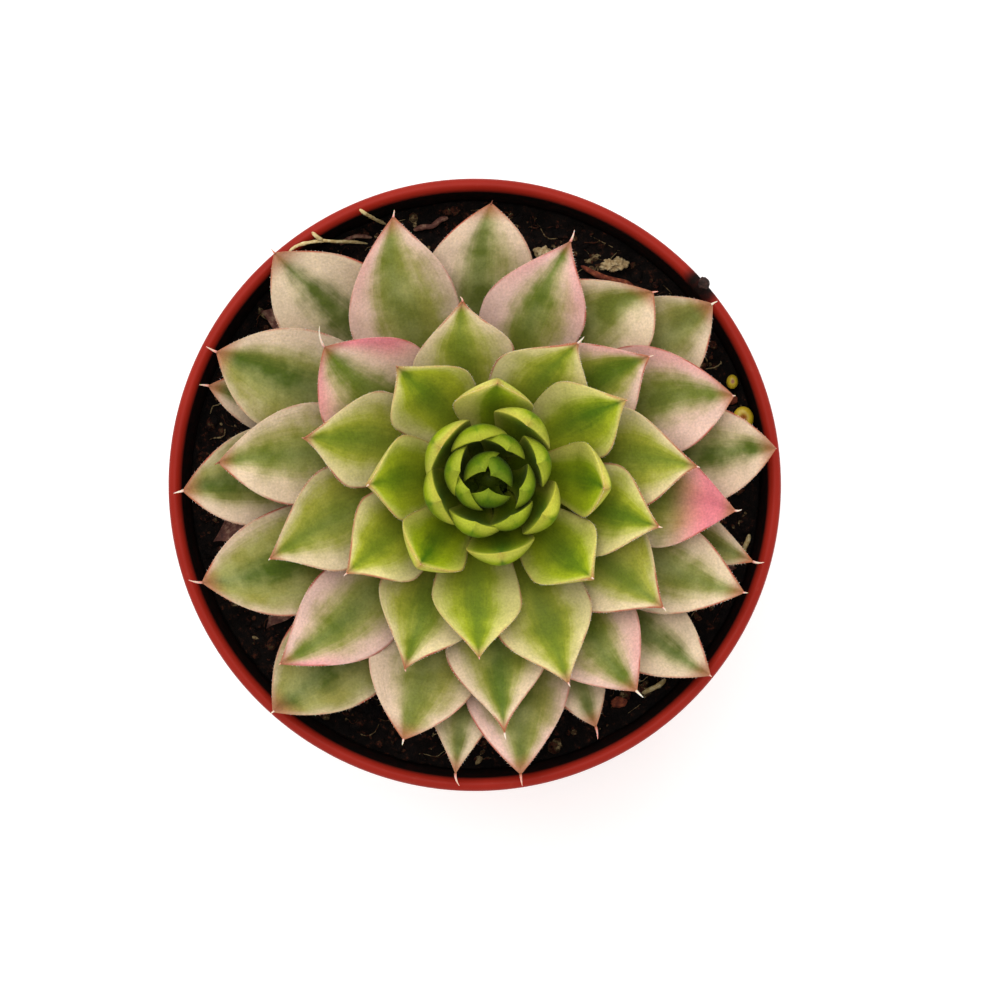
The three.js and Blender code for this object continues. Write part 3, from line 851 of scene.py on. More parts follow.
    def paint(self, tree: Tree) -> dict:
        """Bands of colour that follow the blade, with faint lengthwise veins and a fine down in relief.

        Args:
            tree: The material's node tree.

        Returns:
            What the inputs of its Principled shader take, by name.
        """
        on = self.reading(tree)
        outlined = self.outlined(tree, on, self.face(tree, on))
        colour = add(tree, "VectorMath", {"operation": "SCALE"}, {0: outlined, "Scale": self.light(tree, on)})
        wax = add(
            tree,
            "MapRange",
            inputs={"Value": on.cloud, "To Min": self.roughness - 0.08, "To Max": self.roughness + 0.12},
        )
        swell = add(
            tree, "Bump", inputs={"Strength": 0.35, "Distance": self.vein_depth * MM, "Height": on.veins}
        )
        down = add(
            tree,
            "Bump",
            inputs={"Strength": 0.35, "Distance": self.down_depth * MM, "Height": on.fine, "Normal": swell},
        )
        return {
            "Base Color": colour,
            "Roughness": wax,
            "Normal": down,
            "Subsurface Weight": 0.15,
            "Subsurface Radius": (1.0, 0.8, 0.3),
            "Subsurface Scale": 0.9 * MM,
            "Specular IOR Level": 0.16,
            "Sheen Weight": 0.02,
            "Sheen Roughness": 0.5,
        }


@dataclass(frozen=True)
class DryBristle(Finish):
    """The dry end of a leaf, a soft bristle like a grass awn: papery, from cream over pink to brown."""

    name: str = "dry_bristle"
    roughness: float = 0.6
    ior: float = 1.45
    grain: float = 0.6
    shades: Stops = (
        (0.0, "#f1e8d4"), (0.35, "#e8cdb8"), (0.6, "#dc9b8c"), (0.85, "#b06a4c"), (1.0, "#7a4028")
    )

    def paint(self, tree: Tree) -> dict:
        """The shade is the bristle's own, stirred by fine noise; it lets light through.

        Args:
            tree: The material's node tree.

        Returns:
            What the inputs of its Principled shader take, by name.
        """
        place = add(tree, "TexCoord").outputs["Object"]
        stir = add(tree, "TexNoise", inputs={"Vector": place, "Scale": per_metre(self.grain), "Detail": 2.0})
        tint = add(tree, "Attribute", {"attribute_name": "tint"}).outputs["Fac"]
        shift = add(tree, "Math", PRODUCT_SUM, {0: stir, 1: 0.3, 2: -0.15})
        shade = add(tree, "Math", SUM, {0: shift, 1: tint})
        colour = add(tree, "ValToRGB", {"stops": self.shades}, {0: shade})
        return {"Base Color": colour, "Subsurface Weight": 0.3, "Subsurface Scale": 0.3 * MM}


@dataclass(frozen=True)
class Weathered(Finish):
    """A dry natural scrap, matt and uneven: its shades follow noise of one grain size, as does its relief."""

    shades: Stops
    grain: float
    relief: float = 0.15

    def paint(self, tree: Tree) -> dict:
        """One noise gives both the shades and the relief.

        Args:
            tree: The material's node tree.

        Returns:
            What the inputs of its Principled shader take, by name.
        """
        place = add(tree, "TexCoord").outputs["Object"]
        grains = add(
            tree,
            "TexNoise",
            inputs={"Vector": place, "Scale": per_metre(self.grain), "Detail": 6.0, "Roughness": 0.65},
        )
        spread = add(tree, "MapRange", inputs={"Value": grains, "From Min": 0.28, "From Max": 0.72})
        colour = add(tree, "ValToRGB", {"stops": self.shades}, {0: spread})
        bump = add(tree, "Bump", inputs={"Strength": 0.8, "Distance": self.relief * MM, "Height": grains})
        return {"Base Color": colour, "Normal": bump}


@dataclass(frozen=True)
class ResinCoat(Finish):
    """The resin coat of a slow-release fertiliser prill: smooth yellow, with an orange-brown hollow where it
    has emptied."""

    name: str = "resin_coat"
    roughness: float = 0.38
    ior: float = 1.5
    yellow: str = "#dfc22c"
    straw_yellow: str = "#c9a326"
    hollow: str = "#a2570f"
    blotch: float = 0.7
    relief: float = 0.06

    def paint(self, tree: Tree) -> dict:
        """Yellow with faint blotches, turning orange-brown where the pit attribute says.

        Args:
            tree: The material's node tree.

        Returns:
            What the inputs of its Principled shader take, by name.
        """
        place = add(tree, "TexCoord").outputs["Object"]
        blotch = add(
            tree, "TexNoise", inputs={"Vector": place, "Scale": per_metre(self.blotch), "Detail": 4.0}
        )
        pit = add(tree, "Attribute", {"attribute_name": "pit"}).outputs["Fac"]
        coat = add(tree, "Mix", COLOURS, {0: blotch, 6: linear(self.yellow), 7: linear(self.straw_yellow)})
        colour = add(tree, "Mix", COLOURS, {0: pit, 6: coat, 7: linear(self.hollow)})
        bump = add(tree, "Bump", inputs={"Strength": 0.4, "Distance": self.relief * MM, "Height": blotch})
        return {
            "Base Color": colour, "Normal": bump, "Subsurface Weight": 0.1, "Subsurface Scale": 0.4 * MM
        }


@dataclass(frozen=True)
class BacklitPaper(Finish):
    """Smooth white paper on a light table, so that it glows a little and shadows on it are faint."""

    name: str = "backlit_paper"
    roughness: float = 0.9
    ior: float = 1.45
    white: str = "#f6f5f4"
    shade: str = "#f2f1ef"
    glow: float = 0.3
    cloud: float = 40.0

    def paint(self, tree: Tree) -> dict:
        """White with the faintest clouds, and an even glow.

        Args:
            tree: The material's node tree.

        Returns:
            What the inputs of its Principled shader take, by name.
        """
        place = add(tree, "TexCoord").outputs["Object"]
        clouds = add(
            tree, "TexNoise", inputs={"Vector": place, "Scale": per_metre(self.cloud), "Detail": 3.0}
        )
        colour = add(tree, "Mix", COLOURS, {0: clouds, 6: linear(self.white), 7: linear(self.shade)})
        return {
            "Base Color": colour, "Emission Color": linear(self.white), "Emission Strength": self.glow
        }


PINE_BARK = Weathered(
    "pine_bark", 0.85, 1.45, ((0.0, "#3a170b"), (0.5, "#73301a"), (1.0, "#a85c38")), grain=0.7
)
DRIED_STALK = Weathered(
    "dried_stalk", 0.65, 1.45, ((0.0, "#9a7a44"), (0.5, "#c9b078"), (1.0, "#e6dcb0")), grain=0.5, relief=0.08
)
LIME_GRIT = Weathered(
    "lime_grit", 0.9, 1.5, ((0.0, "#6e5236"), (0.45, "#b39668"), (1.0, "#dccaa0")), grain=0.6, relief=0.3
)
WITHERED_SKIN = Weathered(
    "withered_skin", 0.75, 1.45, ((0.0, "#3c1d17"), (0.5, "#6b3f33"), (0.8, "#94705a"), (1.0, "#bda27c")),
    grain=1.1,
)
PEAT_CLOD = Weathered(
    "peat_clod", 0.9, 1.4, ((0.0, "#120b09"), (0.5, "#2b1a16"), (1.0, "#563830")), grain=0.5
)


# ---- Pot ---------------------------------------------------------------------------------------


@dataclass
class Pot:
    """A round nursery pot with a straight collar under its rolled rim and drain holes in its floor."""

    height: float = 70.0
    rim_radius: float = 42.5
    bead: float = 1.9
    bead_depth: float = 2.6
    flare: float = 0.9
    flare_depth: float = 3.4
    wall: float = 1.2
    collar_height: float = 15.0
    collar_inset: float = 1.8
    collar_step: float = 1.8
    step_height: float = 1.5
    base_radius: float = 29.0
    foot_width: float = 5.0
    foot_edge: float = 0.8
    foot_height: float = 2.0
    floor: float = 1.5
    drain_holes: int = 6
    drain_radius: float = 3.2
    drain_circle: float = 16.0
    drill_excess: float = 2.0
    drill_sides: int = 32
    sides: int = 240

    @property
    def collar_z(self) -> float:
        """Height of the collar's lower end."""
        return self.height - self.collar_height

    @property
    def step_z(self) -> float:
        """Height at which the body starts to widen into the collar."""
        return self.collar_z - self.step_height

    @property
    def collar_foot(self) -> float:
        """Outer radius at the collar's lower end."""
        return self.rim_radius - self.collar_inset

    @property
    def body_top(self) -> float:
        """Outer radius of the tapered body just under the collar."""
        return self.collar_foot - self.collar_step

    def inside(self, z: float | np.ndarray) -> np.ndarray:
        """Inner radius at a height: straight lines from the floor to the step, over it, and up the collar.

        Args:
            z: The height, or many.

        Returns:
            The radius there.
        """
        heights = [0.0, self.step_z, self.collar_z, self.height - self.bead_depth]
        radii = np.array([self.base_radius, self.body_top, self.collar_foot, self.rim_radius])
        return np.interp(z, heights, radii - self.wall)

    def shell(self) -> Shell:
        """The turned body: foot ring, tapered wall, collar, rolled rim, and back down the inside.

        Returns:
            The body, before its drain holes are cut.
        """
        top, under = self.height, self.foot_height
        inner = self.base_radius - self.foot_width
        crest = self.rim_radius - self.bead / 2
        bead_end = top - self.bead_depth
        # Radius, height and rounding of each corner, from the middle of the underside outwards.
        corners = [
            (0.0, under, 0.0),
            (inner - 0.5, under, 0.3),
            (inner, 0.0, 0.25),
            (self.base_radius - self.foot_edge, 0.0, 0.4),
            (self.base_radius, self.foot_edge, 0.6),
            (self.body_top, self.step_z - 0.7, 0.5),
            (self.collar_foot, self.step_z + 0.1, 0.4),
            (self.rim_radius - self.flare, top - self.flare_depth, 0.3),
            (self.rim_radius - self.flare / 3, top - self.flare_depth + 0.5, 0.4),
            (self.rim_radius, top - 2.0, 0.5),
            (self.rim_radius, top - 0.5, 0.7),
            (crest + 0.25, top, 0.5),
            (crest - 0.25, top, 0.5),
            (self.rim_radius - self.bead, top - 0.7, 0.6),
            (self.rim_radius - self.bead, top - 1.6, 0.5),
            (float(self.inside(bead_end)), bead_end, 0.4),
            (float(self.inside(self.collar_z)), self.collar_z, 0.5),
            (float(self.inside(self.step_z)), self.step_z, 0.5),
            (float(self.inside(under + self.floor)), under + self.floor, 1.2),
            (0.0, under + self.floor, 0.0),
        ]
        return turned_shell(rounded_profile(corners), self.sides)

    def drills(self) -> Shell:
        """Short round bars where the drain holes are, a little longer than the floor is thick.

        Returns:
            The bars.
        """
        bearing = 2 * np.pi * np.arange(self.drain_holes) / self.drain_holes
        centre = np.stack([np.cos(bearing), np.sin(bearing)], -1) * self.drain_circle
        excess = self.drill_excess
        heights = np.array([self.foot_height - excess, self.foot_height + self.floor + excess])
        ends = np.repeat(centre[:, None], 2, axis=1)
        paths = np.concatenate([ends, np.tile(heights, (self.drain_holes, 1))[..., None]], axis=-1)
        turn = 2 * np.pi * np.arange(self.drill_sides) / self.drill_sides
        ring = np.stack([np.cos(turn), np.sin(turn), 0 * turn], -1) * self.drain_radius
        return ringed_shell(paths[:, :, None] + ring, paths[:, 0], paths[:, 1])

    def build(self) -> None:
        """Makes the pot, with its drain holes cut."""
        pot = to_object("pot_shell", self.shell())
        drills = to_object("drills", self.drills())
        cut = pot.modifiers.new("drain_holes", "BOOLEAN")
        cut.operation = "DIFFERENCE"
        cut.solver = "EXACT"
        cut.object = drills
        drilled = bpy.data.meshes.new_from_object(pot.evaluated_get(bpy.context.evaluated_depsgraph_get()))
        pot.modifiers.clear()
        pot.data = drilled
        bpy.data.objects.remove(drills)
        install(pot, MouldedPolypropylene(), "pot", "pot")


# ---- Soil --------------------------------------------------------------------------------------


@dataclass
class Soil:
    """Peat that fills the pot to a little under its rim, with crumbs and fibres on its surface."""

    pot: Pot
    crown: tuple[float, float]
    gap: float = 0.3
    level: float = 61.2
    lump: float = 0.55
    heap: float = 1.6
    dip: float = 1.6
    dip_reach: tuple[float, float] = (8.0, 24.0)
    heap_x: tuple[float, float] = (30.0, 39.0)
    heap_y: tuple[float, float] = (-4.0, 6.0)
    wall_top: float = 58.0
    tint: float = -0.12
    rings: int = 110
    sides: int = 400
    relief_cells: tuple[float, ...] = (2.6, 1.2, 0.6)
    relief_heights: tuple[float, ...] = (0.4, 0.32, 0.22)
    # Where in the noise the relief is taken from, and with what draw.
    relief_shift: float = 100.0
    relief_seed: int = 11
    crumbs: int = 2800
    crumb_size: float = 0.3
    crumb_spread: float = 0.5
    crumb_range: tuple[float, float] = (0.45, 3.2)
    crumb_unevenness: float = 0.3
    crumb_stretch: tuple[float, float] = (0.6, 1.5)
    crumb_flatness: float = 0.75
    # How far a crumb's middle stands over the surface, its two poles over and under its middle, and how
    # far it keeps from the wall, each as a share of its size.
    crumb_rise: float = 0.25
    crumb_pole: float = 0.7
    crumb_margin: float = 1.6
    crumb_rings: int = 4
    crumb_sides: int = 7
    crumb_seed: int = 5
    pale_crumbs: float = 0.45
    pale_tint: tuple[float, float] = (0.05, 0.45)
    dark_tint: float = -0.1
    fibres: int = 420
    fibre_length: tuple[float, float] = (1.5, 6.0)
    fibre_radius: tuple[float, float] = (0.04, 0.12)
    fibre_arch: float = 0.8
    fibre_rise: float = 0.18
    fibre_points: int = 8
    fibre_sides: int = 4
    # The tints of fibres, and how often each comes.
    fibre_tints: tuple[float, ...] = (0.0, 0.25, 0.5, 0.75)
    fibre_odds: tuple[float, ...] = (0.25, 0.35, 0.25, 0.15)
    fibre_seed: int = 9
    inner_bound: float = 20.0
    outer_bound: float = 39.0

    def top(self, x: np.ndarray, y: np.ndarray) -> np.ndarray:
        """Mean surface: crossed waves for the lumps, a heap against the right-hand wall, a dip at the stem.

        Args:
            x: Places along X.
            y: Places along Y.

        Returns:
            The height at each place.
        """
        lumps = np.sin(0.65 * x + 0.3 * y) * np.cos(0.55 * y - 0.15 * x) + 0.4 * np.sin(1.1 * x - 0.8 * y)
        opened = smooth_ramp(*self.dip_reach, np.hypot(x - self.crown[0], y - self.crown[1]))
        heaped = smooth_ramp(*self.heap_x, x) * smooth_ramp(*self.heap_y, y)
        return self.level + self.dip * (opened - 1) + self.lump * lumps * opened + self.heap * heaped

    def surface(self, x: np.ndarray, y: np.ndarray) -> np.ndarray:
        """The mean surface with its crumbly relief: three layers of value noise.

        Args:
            x: Places along X.
            y: Places along Y.

        Returns:
            The height at each place.
        """
        flat = np.stack([x + self.relief_shift, y + self.relief_shift, 0 * x], -1)
        return self.top(x, y) + layered_noise(flat, self.relief_cells, self.relief_heights, self.relief_seed)

    def bed(self) -> Shell:
        """The bed: up the pot's inner wall from its floor, then inwards over the surface, ring by ring.

        Returns:
            The bed, with its tint.
        """
        pot = self.pot
        floor = pot.foot_height + pot.floor + self.gap
        halfway = 0.5 * floor + 0.5 * pot.collar_z
        wall_z = np.array([floor, halfway, pot.step_z, pot.collar_z + self.gap, self.wall_top])
        wall_r = pot.inside(wall_z) - self.gap
        turn = 2 * np.pi * np.arange(self.sides) / self.sides
        edge = float(pot.inside(self.level - self.lump)) - self.gap
        top_r = edge * (1 - np.arange(self.rings) / self.rings)[:, None]
        x, y = top_r * np.cos(turn), top_r * np.sin(turn)
        top = np.stack([x, y, self.surface(x, y)], -1)
        wall = np.stack(
            [wall_r[:, None] * np.cos(turn), wall_r[:, None] * np.sin(turn), wall_z[:, None] + 0 * turn], -1
        )
        crest = float(self.surface(np.zeros(1), np.zeros(1))[0])
        centre = np.array([[0.0, 0.0, floor], [0.0, 0.0, crest]])
        shell = ringed_shell(np.concatenate([wall, top])[None], centre[:1], centre[1:])
        shell.attributes["tint"] = np.full(len(shell.points), self.tint)
        return shell

    def scatter(self, count: int, rng: np.random.Generator) -> tuple[np.ndarray, np.ndarray]:
        """Draws places on the open ring of soil, evenly over its area.

        Args:
            count: How many.
            rng: Where the draws come from.

        Returns:
            Their x and y.
        """
        radius = np.sqrt(rng.uniform(self.inner_bound**2, self.outer_bound**2, count))
        bearing = rng.uniform(0, 2 * np.pi, count)
        return radius * np.cos(bearing), radius * np.sin(bearing)

    def crumb_shell(self) -> Shell:
        """Peat crumbs: balls of a few rings made uneven at random, stretched, turned and partly sunk.

        Returns:
            The crumbs, each with a tint; about half are paler than the rest.
        """
        rng = np.random.default_rng(self.crumb_seed)
        x, y = self.scatter(self.crumbs, rng)
        size = np.exp(rng.normal(0, self.crumb_spread, self.crumbs)).clip(*self.crumb_range)
        size = self.crumb_size * size
        ball = latitudes(self.crumb_rings, self.crumb_sides)
        uneven = 1 + self.crumb_unevenness * rng.uniform(-1, 1, (self.crumbs, *ball.shape[:2], 1))
        stretch = rng.uniform(*self.crumb_stretch, (self.crumbs, 1, 1, 3))
        stretch = stretch * np.array([1, 1, self.crumb_flatness])
        shaped = ball * uneven * stretch * size[:, None, None, None]
        spin = rng.uniform(0, 2 * np.pi, self.crumbs)[:, None, None]
        turned = np.stack(
            [
                shaped[..., 0] * np.cos(spin) - shaped[..., 1] * np.sin(spin),
                shaped[..., 0] * np.sin(spin) + shaped[..., 1] * np.cos(spin),
                shaped[..., 2],
            ],
            -1,
        )
        limit = self.pot.inside(self.level) - self.gap - self.crumb_margin * size
        pull = np.minimum(1, limit / np.hypot(x, y))
        x, y = x * pull, y * pull
        centre = np.stack([x, y, self.surface(x, y) + self.crumb_rise * size], -1)
        pole = self.crumb_pole * UP[None] * size[:, None]
        shell = ringed_shell(turned + centre[:, None, None], centre + pole, centre - pole)
        pale = rng.random(self.crumbs) < self.pale_crumbs
        tint = np.where(pale, rng.uniform(*self.pale_tint, self.crumbs), self.dark_tint)
        shell.attributes["tint"] = np.repeat(tint, len(shell.points) // self.crumbs)
        return shell

    def fibre_shell(self) -> Shell:
        """Peat fibres: thin tubes that curl along the surface, each an arc with a wave on it.

        Returns:
            The fibres, each with one of four tints.
        """
        rng = np.random.default_rng(self.fibre_seed)
        x, y = self.scatter(self.fibres, rng)
        length = rng.uniform(*self.fibre_length, self.fibres)[:, None]
        heading = rng.uniform(0, 2 * np.pi, self.fibres)[:, None]
        bend = rng.normal(0, 1.0, self.fibres)[:, None]
        t = np.linspace(-0.5, 0.5, self.fibre_points)
        course = heading + bend * t + 0.5 * np.sin(7 * t + heading)
        step = length / len(t)
        px = x[:, None] + np.cumsum(np.cos(course), axis=1) * step
        py = y[:, None] + np.cumsum(np.sin(course), axis=1) * step
        pull = np.minimum(1, (self.outer_bound - 0.3) / np.hypot(px, py))
        px, py = px * pull, py * pull
        arch = rng.uniform(0.0, self.fibre_arch, self.fibres)[:, None] * np.cos(np.pi * t)
        paths = np.stack([px, py, self.surface(px, py) + self.fibre_rise + arch], -1)
        radii = rng.uniform(*self.fibre_radius, self.fibres)[:, None] * (1 - 1.2 * t**2)
        shell = tubes(paths, radii, self.fibre_sides)
        tint = rng.choice(self.fibre_tints, self.fibres, p=self.fibre_odds)
        shell.attributes["tint"] = np.repeat(tint, len(shell.points) // self.fibres)
        return shell

    def build(self) -> None:
        """Makes the bed and what is scattered on it."""
        install(to_object("soil_bed", self.bed()), Peat(), "soil", "soil")
        install(to_object("peat_crumbs", self.crumb_shell(), smooth=False), Peat(), "soil")
        install(to_object("peat_fibres", self.fibre_shell()), Peat(), "soil")


# ---- Rosette -----------------------------------------------------------------------------------


class Band(Enum):
    """The three bands of leaves, each a piece of its own: name, first leaf and the leaf after its last."""

    HEART = ("leaves_heart", 0, 16)
    MIDDLE = ("leaves_middle", 16, 39)
    OUTER = ("leaves_outer", 39, 63)


NECK = 0.42  # width of a leaf at its foot, as a share of its widest
SHOULDER = 0.62  # how far along a leaf it reaches its full width
TAPER = 0.6  # how far along it starts to narrow to its tip, and an open one to fold up
FOLD = 0.22  # how steeply an open leaf folds up along its midrib near the tip
RIPPLE = 7.0  # how fast a margin waves along the leaf, in radians over its length
THINNING = 0.55  # how far along a leaf its underside starts to rise to the tip
FOOT_KEEL = 0.8  # depth of its underside at the foot, as a share of the deepest


@dataclass
class Blades:
    """The forms of several leaves: each field but the crown's place holds one number for each leaf."""

    number: np.ndarray
    bearing: np.ndarray
    lean: np.ndarray
    bow: np.ndarray
    reach: np.ndarray
    foot: np.ndarray
    foot_z: np.ndarray
    tip_z: np.ndarray
    width: np.ndarray
    thickness: np.ndarray
    knee: np.ndarray
    lift: np.ndarray
    cup: np.ndarray
    twist: np.ndarray
    wave: np.ndarray
    opened: np.ndarray
    ogee: np.ndarray
    arch: np.ndarray
    crown: tuple[float, float]

    def half_width(self, u: np.ndarray) -> np.ndarray:
        """Half width of each leaf, in millimetres, where u is how far along it."""
        ogee, arch = self.ogee[:, None, None], self.arch[:, None, None]
        return 0.5 * self.width[:, None, None] * leaf_outline(u, ogee, arch)

    def points(self, u: np.ndarray, v: np.ndarray, depth: np.ndarray) -> np.ndarray:
        """Points of the blades. The midrib is a quadratic curve in an upright plane that swings round the
        crown by the leaf's lean. Across it the blade bends up in an arc, folds up near the tip, twists
        a little, and its margin waves.

        Args:
            u: How far along the blade, 0 to 1, as leaves x stations x points or what spreads to that.
            v: How far across it, -1 to 1.
            depth: How far under the upper face, in millimetres.

        Returns:
            The points, with x, y and z along the last axis.
        """
        (bearing, lean, bow, reach, foot, foot_z, tip_z, knee_r, lift, cup, twist, wave, opened) = (
            value[:, None, None]
            for value in (
                self.bearing, self.lean, self.bow, self.reach, self.foot, self.foot_z, self.tip_z,
                self.knee, self.lift, self.cup, self.twist, self.wave, self.opened,
            )
        )
        w = 1 - u
        knee_z = foot_z + lift * (tip_z - foot_z)
        r = w * w * foot + 2 * u * w * knee_r + u * u * reach
        z = w * w * foot_z + 2 * u * w * knee_z + u * u * tip_z
        slope_r = w * (knee_r - foot) + u * (reach - knee_r)
        slope_z = w * (knee_z - foot_z) + u * (tip_z - knee_z)
        length = np.hypot(slope_r, slope_z)
        half = self.half_width(u)
        across = half * v
        side = np.sin(across / cup) * cup
        hollow = (1 - np.cos(across / cup)) * cup
        fold = FOLD * opened * smooth_ramp(TAPER, 1, u) * np.abs(across)
        rippled = wave * np.abs(v) ** 3 * np.sin(RIPPLE * u + 5 * wave) * half / np.max(half)
        up = hollow + fold - depth + across * twist * u + rippled
        radius = r - slope_z / length * up
        heading = np.radians(bearing + lean * u + bow * 4 * u * (1 - u))
        return np.stack(
            [
                self.crown[0] + radius * np.cos(heading) - side * np.sin(heading),
                self.crown[1] + radius * np.sin(heading) + side * np.cos(heading),
                z + slope_r / length * up,
            ],
            -1,
        )

    def on_midrib(self, first: float, second: float) -> tuple[np.ndarray, np.ndarray]:
        """Two points of each blade's midrib, given how far along they lie, 0 to 1."""
        pair = self.points(np.array([[[first, second]]]), np.zeros((1, 1, 2)), np.zeros((1, 1, 2)))
        return pair[:, 0, 0], pair[:, 0, 1]


def leaf_outline(u: np.ndarray, ogee: np.ndarray, arch: np.ndarray) -> np.ndarray:
    """Half width along a leaf as a share of its widest: a spoon that narrows to a sharp tip.

    Args:
        u: How far along the leaf, 0 to 1.
        ogee: Share of the narrowing that is an ogee, which draws the tip out; the rest is a round arch.
        arch: The arch's power; the higher it is, the blunter the leaf.

    Returns:
        The share of the leaf's widest half.
    """
    spoon = NECK + (1 - NECK) * smooth_ramp(0, SHOULDER, u)
    s = np.clip((u - TAPER) / (1 - TAPER), 0, 1)
    return spoon * (ogee * (0.5 + 0.5 * np.cos(np.pi * s)) + (1 - ogee) * (1 - s**arch))


def leaf_depth(u: np.ndarray) -> np.ndarray:
    """Depth of the rounded underside along a leaf as a share of the deepest: it thins in a quarter round."""
    s = np.clip((u - THINNING) / (1 - THINNING), 0, 1)
    return (FOOT_KEEL + (1 - FOOT_KEEL) * smooth_ramp(0, TAPER, u)) * np.sqrt(1 - s * s)


@dataclass
class Rosette:
    """The houseleek: leaves on a golden-angle spiral round a crown, with bristle tips and fringed margins."""

    crown: tuple[float, float] = (2.1, 1.0)
    stem_radius: float = 4.2
    stem_foot: float = 50.0
    stem_shoulder: float = 66.0
    stem_top: float = 79.0
    stem_sides: int = 48
    scar: float = 1.3
    scar_height: float = 0.05
    scar_shift: float = 50.0
    first_bearing: float = 46.3
    spiral_turn: float = 137.57
    leaf_count: int = 63
    heart_leaves: int = 16
    foot_depth: float = 3.0
    foot_low: float = 62.6
    foot_climb: float = 14.0
    foot_power: float = 0.9
    tip_low: float = 72.6
    tip_climb: float = 15.2
    tip_power: float = 1.15
    bud_sink: float = 3.0
    bud_width: float = 6.2
    full_width: float = 14.5
    bud_thickness: float = 1.4
    heart_thickness: float = 2.2
    old_thickness: float = 1.8
    heart_swell: float = 1.6
    bud_swell: float = 3.2
    open_knee: float = 0.6
    ogee: float = 0.6
    arch: float = 1.8
    old_arch: float = 2.5
    old_lift: float = 0.32
    young_lift: float = 0.1
    bud_cup: float = 10.0
    cup_growth: float = 0.4
    # The leaves from which to which a form changes smoothly, by number from the bud: the bud's swell goes,
    # its tips rise to the general climb, blades thicken, broaden, open, thin, and lose their ogee for a
    # blunter arch; margins start to twist and wave, a midrib shows, and bristles lengthen.
    unfurls: tuple[float, float] = (1.0, 4.0)
    rises: tuple[float, float] = (0.0, 14.0)
    thickens: tuple[float, float] = (0.0, 12.0)
    broadens: tuple[float, float] = (0.0, 32.0)
    opens: tuple[float, float] = (12.5, 22.0)
    thins: tuple[float, float] = (15.0, 30.0)
    rounds: tuple[float, float] = (30.0, 46.0)
    blunts: tuple[float, float] = (30.0, 50.0)
    loosens: tuple[float, float] = (12.0, 30.0)
    ribs: tuple[float, float] = (12.0, 26.0)
    sprouts: tuple[float, float] = (10.0, 34.0)
    pinkens: tuple[float, float] = (22.0, 40.0)
    # For each leaf, from the bud outwards, how many degrees it has swung off the spiral, the reach of its
    # tip from the crown's axis and the degrees by which its middle lies off the straight. Two of the
    # oldest have withered away.
    leaves: tuple[tuple[float, float, float] | None, ...] = (
        (-4, 0.2, 0), (-4, 1.5, 0), (-4, 0.9, 0), (-16, 4.3, 0), (-4, 3.2, 0), (-22, 4.2, 0), (-2, 5.9, 0),
        (6, 4.0, 0), (-10, 6.6, 0), (5, 6.3, 0), (-6, 5.0, 0), (-8, 8.6, 0), (10, 7.2, 0), (-4, 8.5, 0),
        (-2, 10.3, 0), (6, 7.6, 0), (-11, 15.5, 0), (4, 15.0, 0), (-5, 12.7, 0), (3, 19.5, 0), (9, 16.5, 0),
        (-8, 21.2, 0), (7, 24.5, 0), (8, 19.5, 0), (-1, 24.0, 0), (7, 23.4, 0), (-13, 21.8, 0),
        (-1, 30.0, 0), (14, 25.8, 0), (-14, 28.3, 0), (7, 28.5, 0), (-3, 24.3, 3), (-1, 29.6, 0),
        (14, 32.0, 0), (-12, 27.3, 1), (2, 35.0, 0), (8, 28.6, 5), (-4, 33.8, 0), (3, 38.3, 4),
        (-10, 34.0, 0), (1, 35.4, -2), (11, 37.1, 0), (-10, 35.1, 4), (1, 37.7, -1), (-3, 38.0, 6.5),
        (0, 38.2, -3), (2, 41.9, 4), (-12, 33.8, 6), (-7, 40.9, -1), (10, 41.2, 2), (-2, 39.4, 0),
        (-3, 43.8, 1.5), (-3, 37.6, 3), (3, 40.7, -2), (5, 42.2, -1.5), (-2, 38.8, 0), (1, 41.0, 0),
        (9, 42.8, 2), (-5, 38.1, 0), None, None, (-1.5, 37.3, 0), (5, 40.8, 0),
    )
    # Width of the leaves that are broader or narrower than their age says, as a share of the usual.
    shares: dict[int, float] = field(
        default_factory=lambda: {
            36: 1.2, 38: 0.95, 40: 1.05, 42: 1.15, 43: 1.12, 44: 1.1, 45: 0.95, 46: 1.05, 47: 1.25, 48: 1.05,
            49: 1.08, 51: 1.08, 52: 1.1, 53: 0.88, 56: 0.85, 57: 1.12, 58: 0.65, 61: 0.65, 62: 0.7,
        }
    )
    # Share of ogee in the outline of the leaves that stand out, and the arch's power in the bluntest.
    ogees: dict[int, float] = field(
        default_factory=lambda: {35: 0.8, 39: 0.5, 44: 0.3, 45: 0.3, 48: 0.3, 53: 0.2, 56: 0.6, 58: 0.4}
    )
    arches: dict[int, float] = field(default_factory=lambda: {36: 4.0})
    # How pink the pale margin is, where it stands out.
    rosy: dict[int, float] = field(
        default_factory=lambda: {
            34: 0.7, 36: 0.5, 38: 0.8, 39: 0.8, 40: 0.7, 42: 0.7, 44: 0.6, 46: 0.4, 48: 0.8, 55: 0.1
        }
    )
    # How much further than usual the green reaches towards the edge, or less far where it is negative, as
    # a share of the half width.
    greens: dict[int, float] = field(
        default_factory=lambda: {
            46: 0.34, 47: -0.1, 49: 0.1, 51: 0.38, 53: -0.1, 54: 0.15, 55: -0.12, 57: -0.3
        }
    )
    # Pink patches: leaf, side it is on (-1, 0 for both, 1), where along the leaf it starts, strength.
    patches: tuple[tuple[int, int, float, float], ...] = (
        (37, 0, 0.62, 0.9), (36, -1, 0.5, 0.85), (36, 1, 0.6, 0.6), (42, 1, 0.5, 0.35), (38, 1, 0.72, 0.7),
        (39, -1, 0.5, 0.3), (39, 1, 0.6, 0.3), (44, 1, 0.6, 0.25), (34, 1, 0.6, 0.3), (40, 1, 0.6, 0.3),
    )
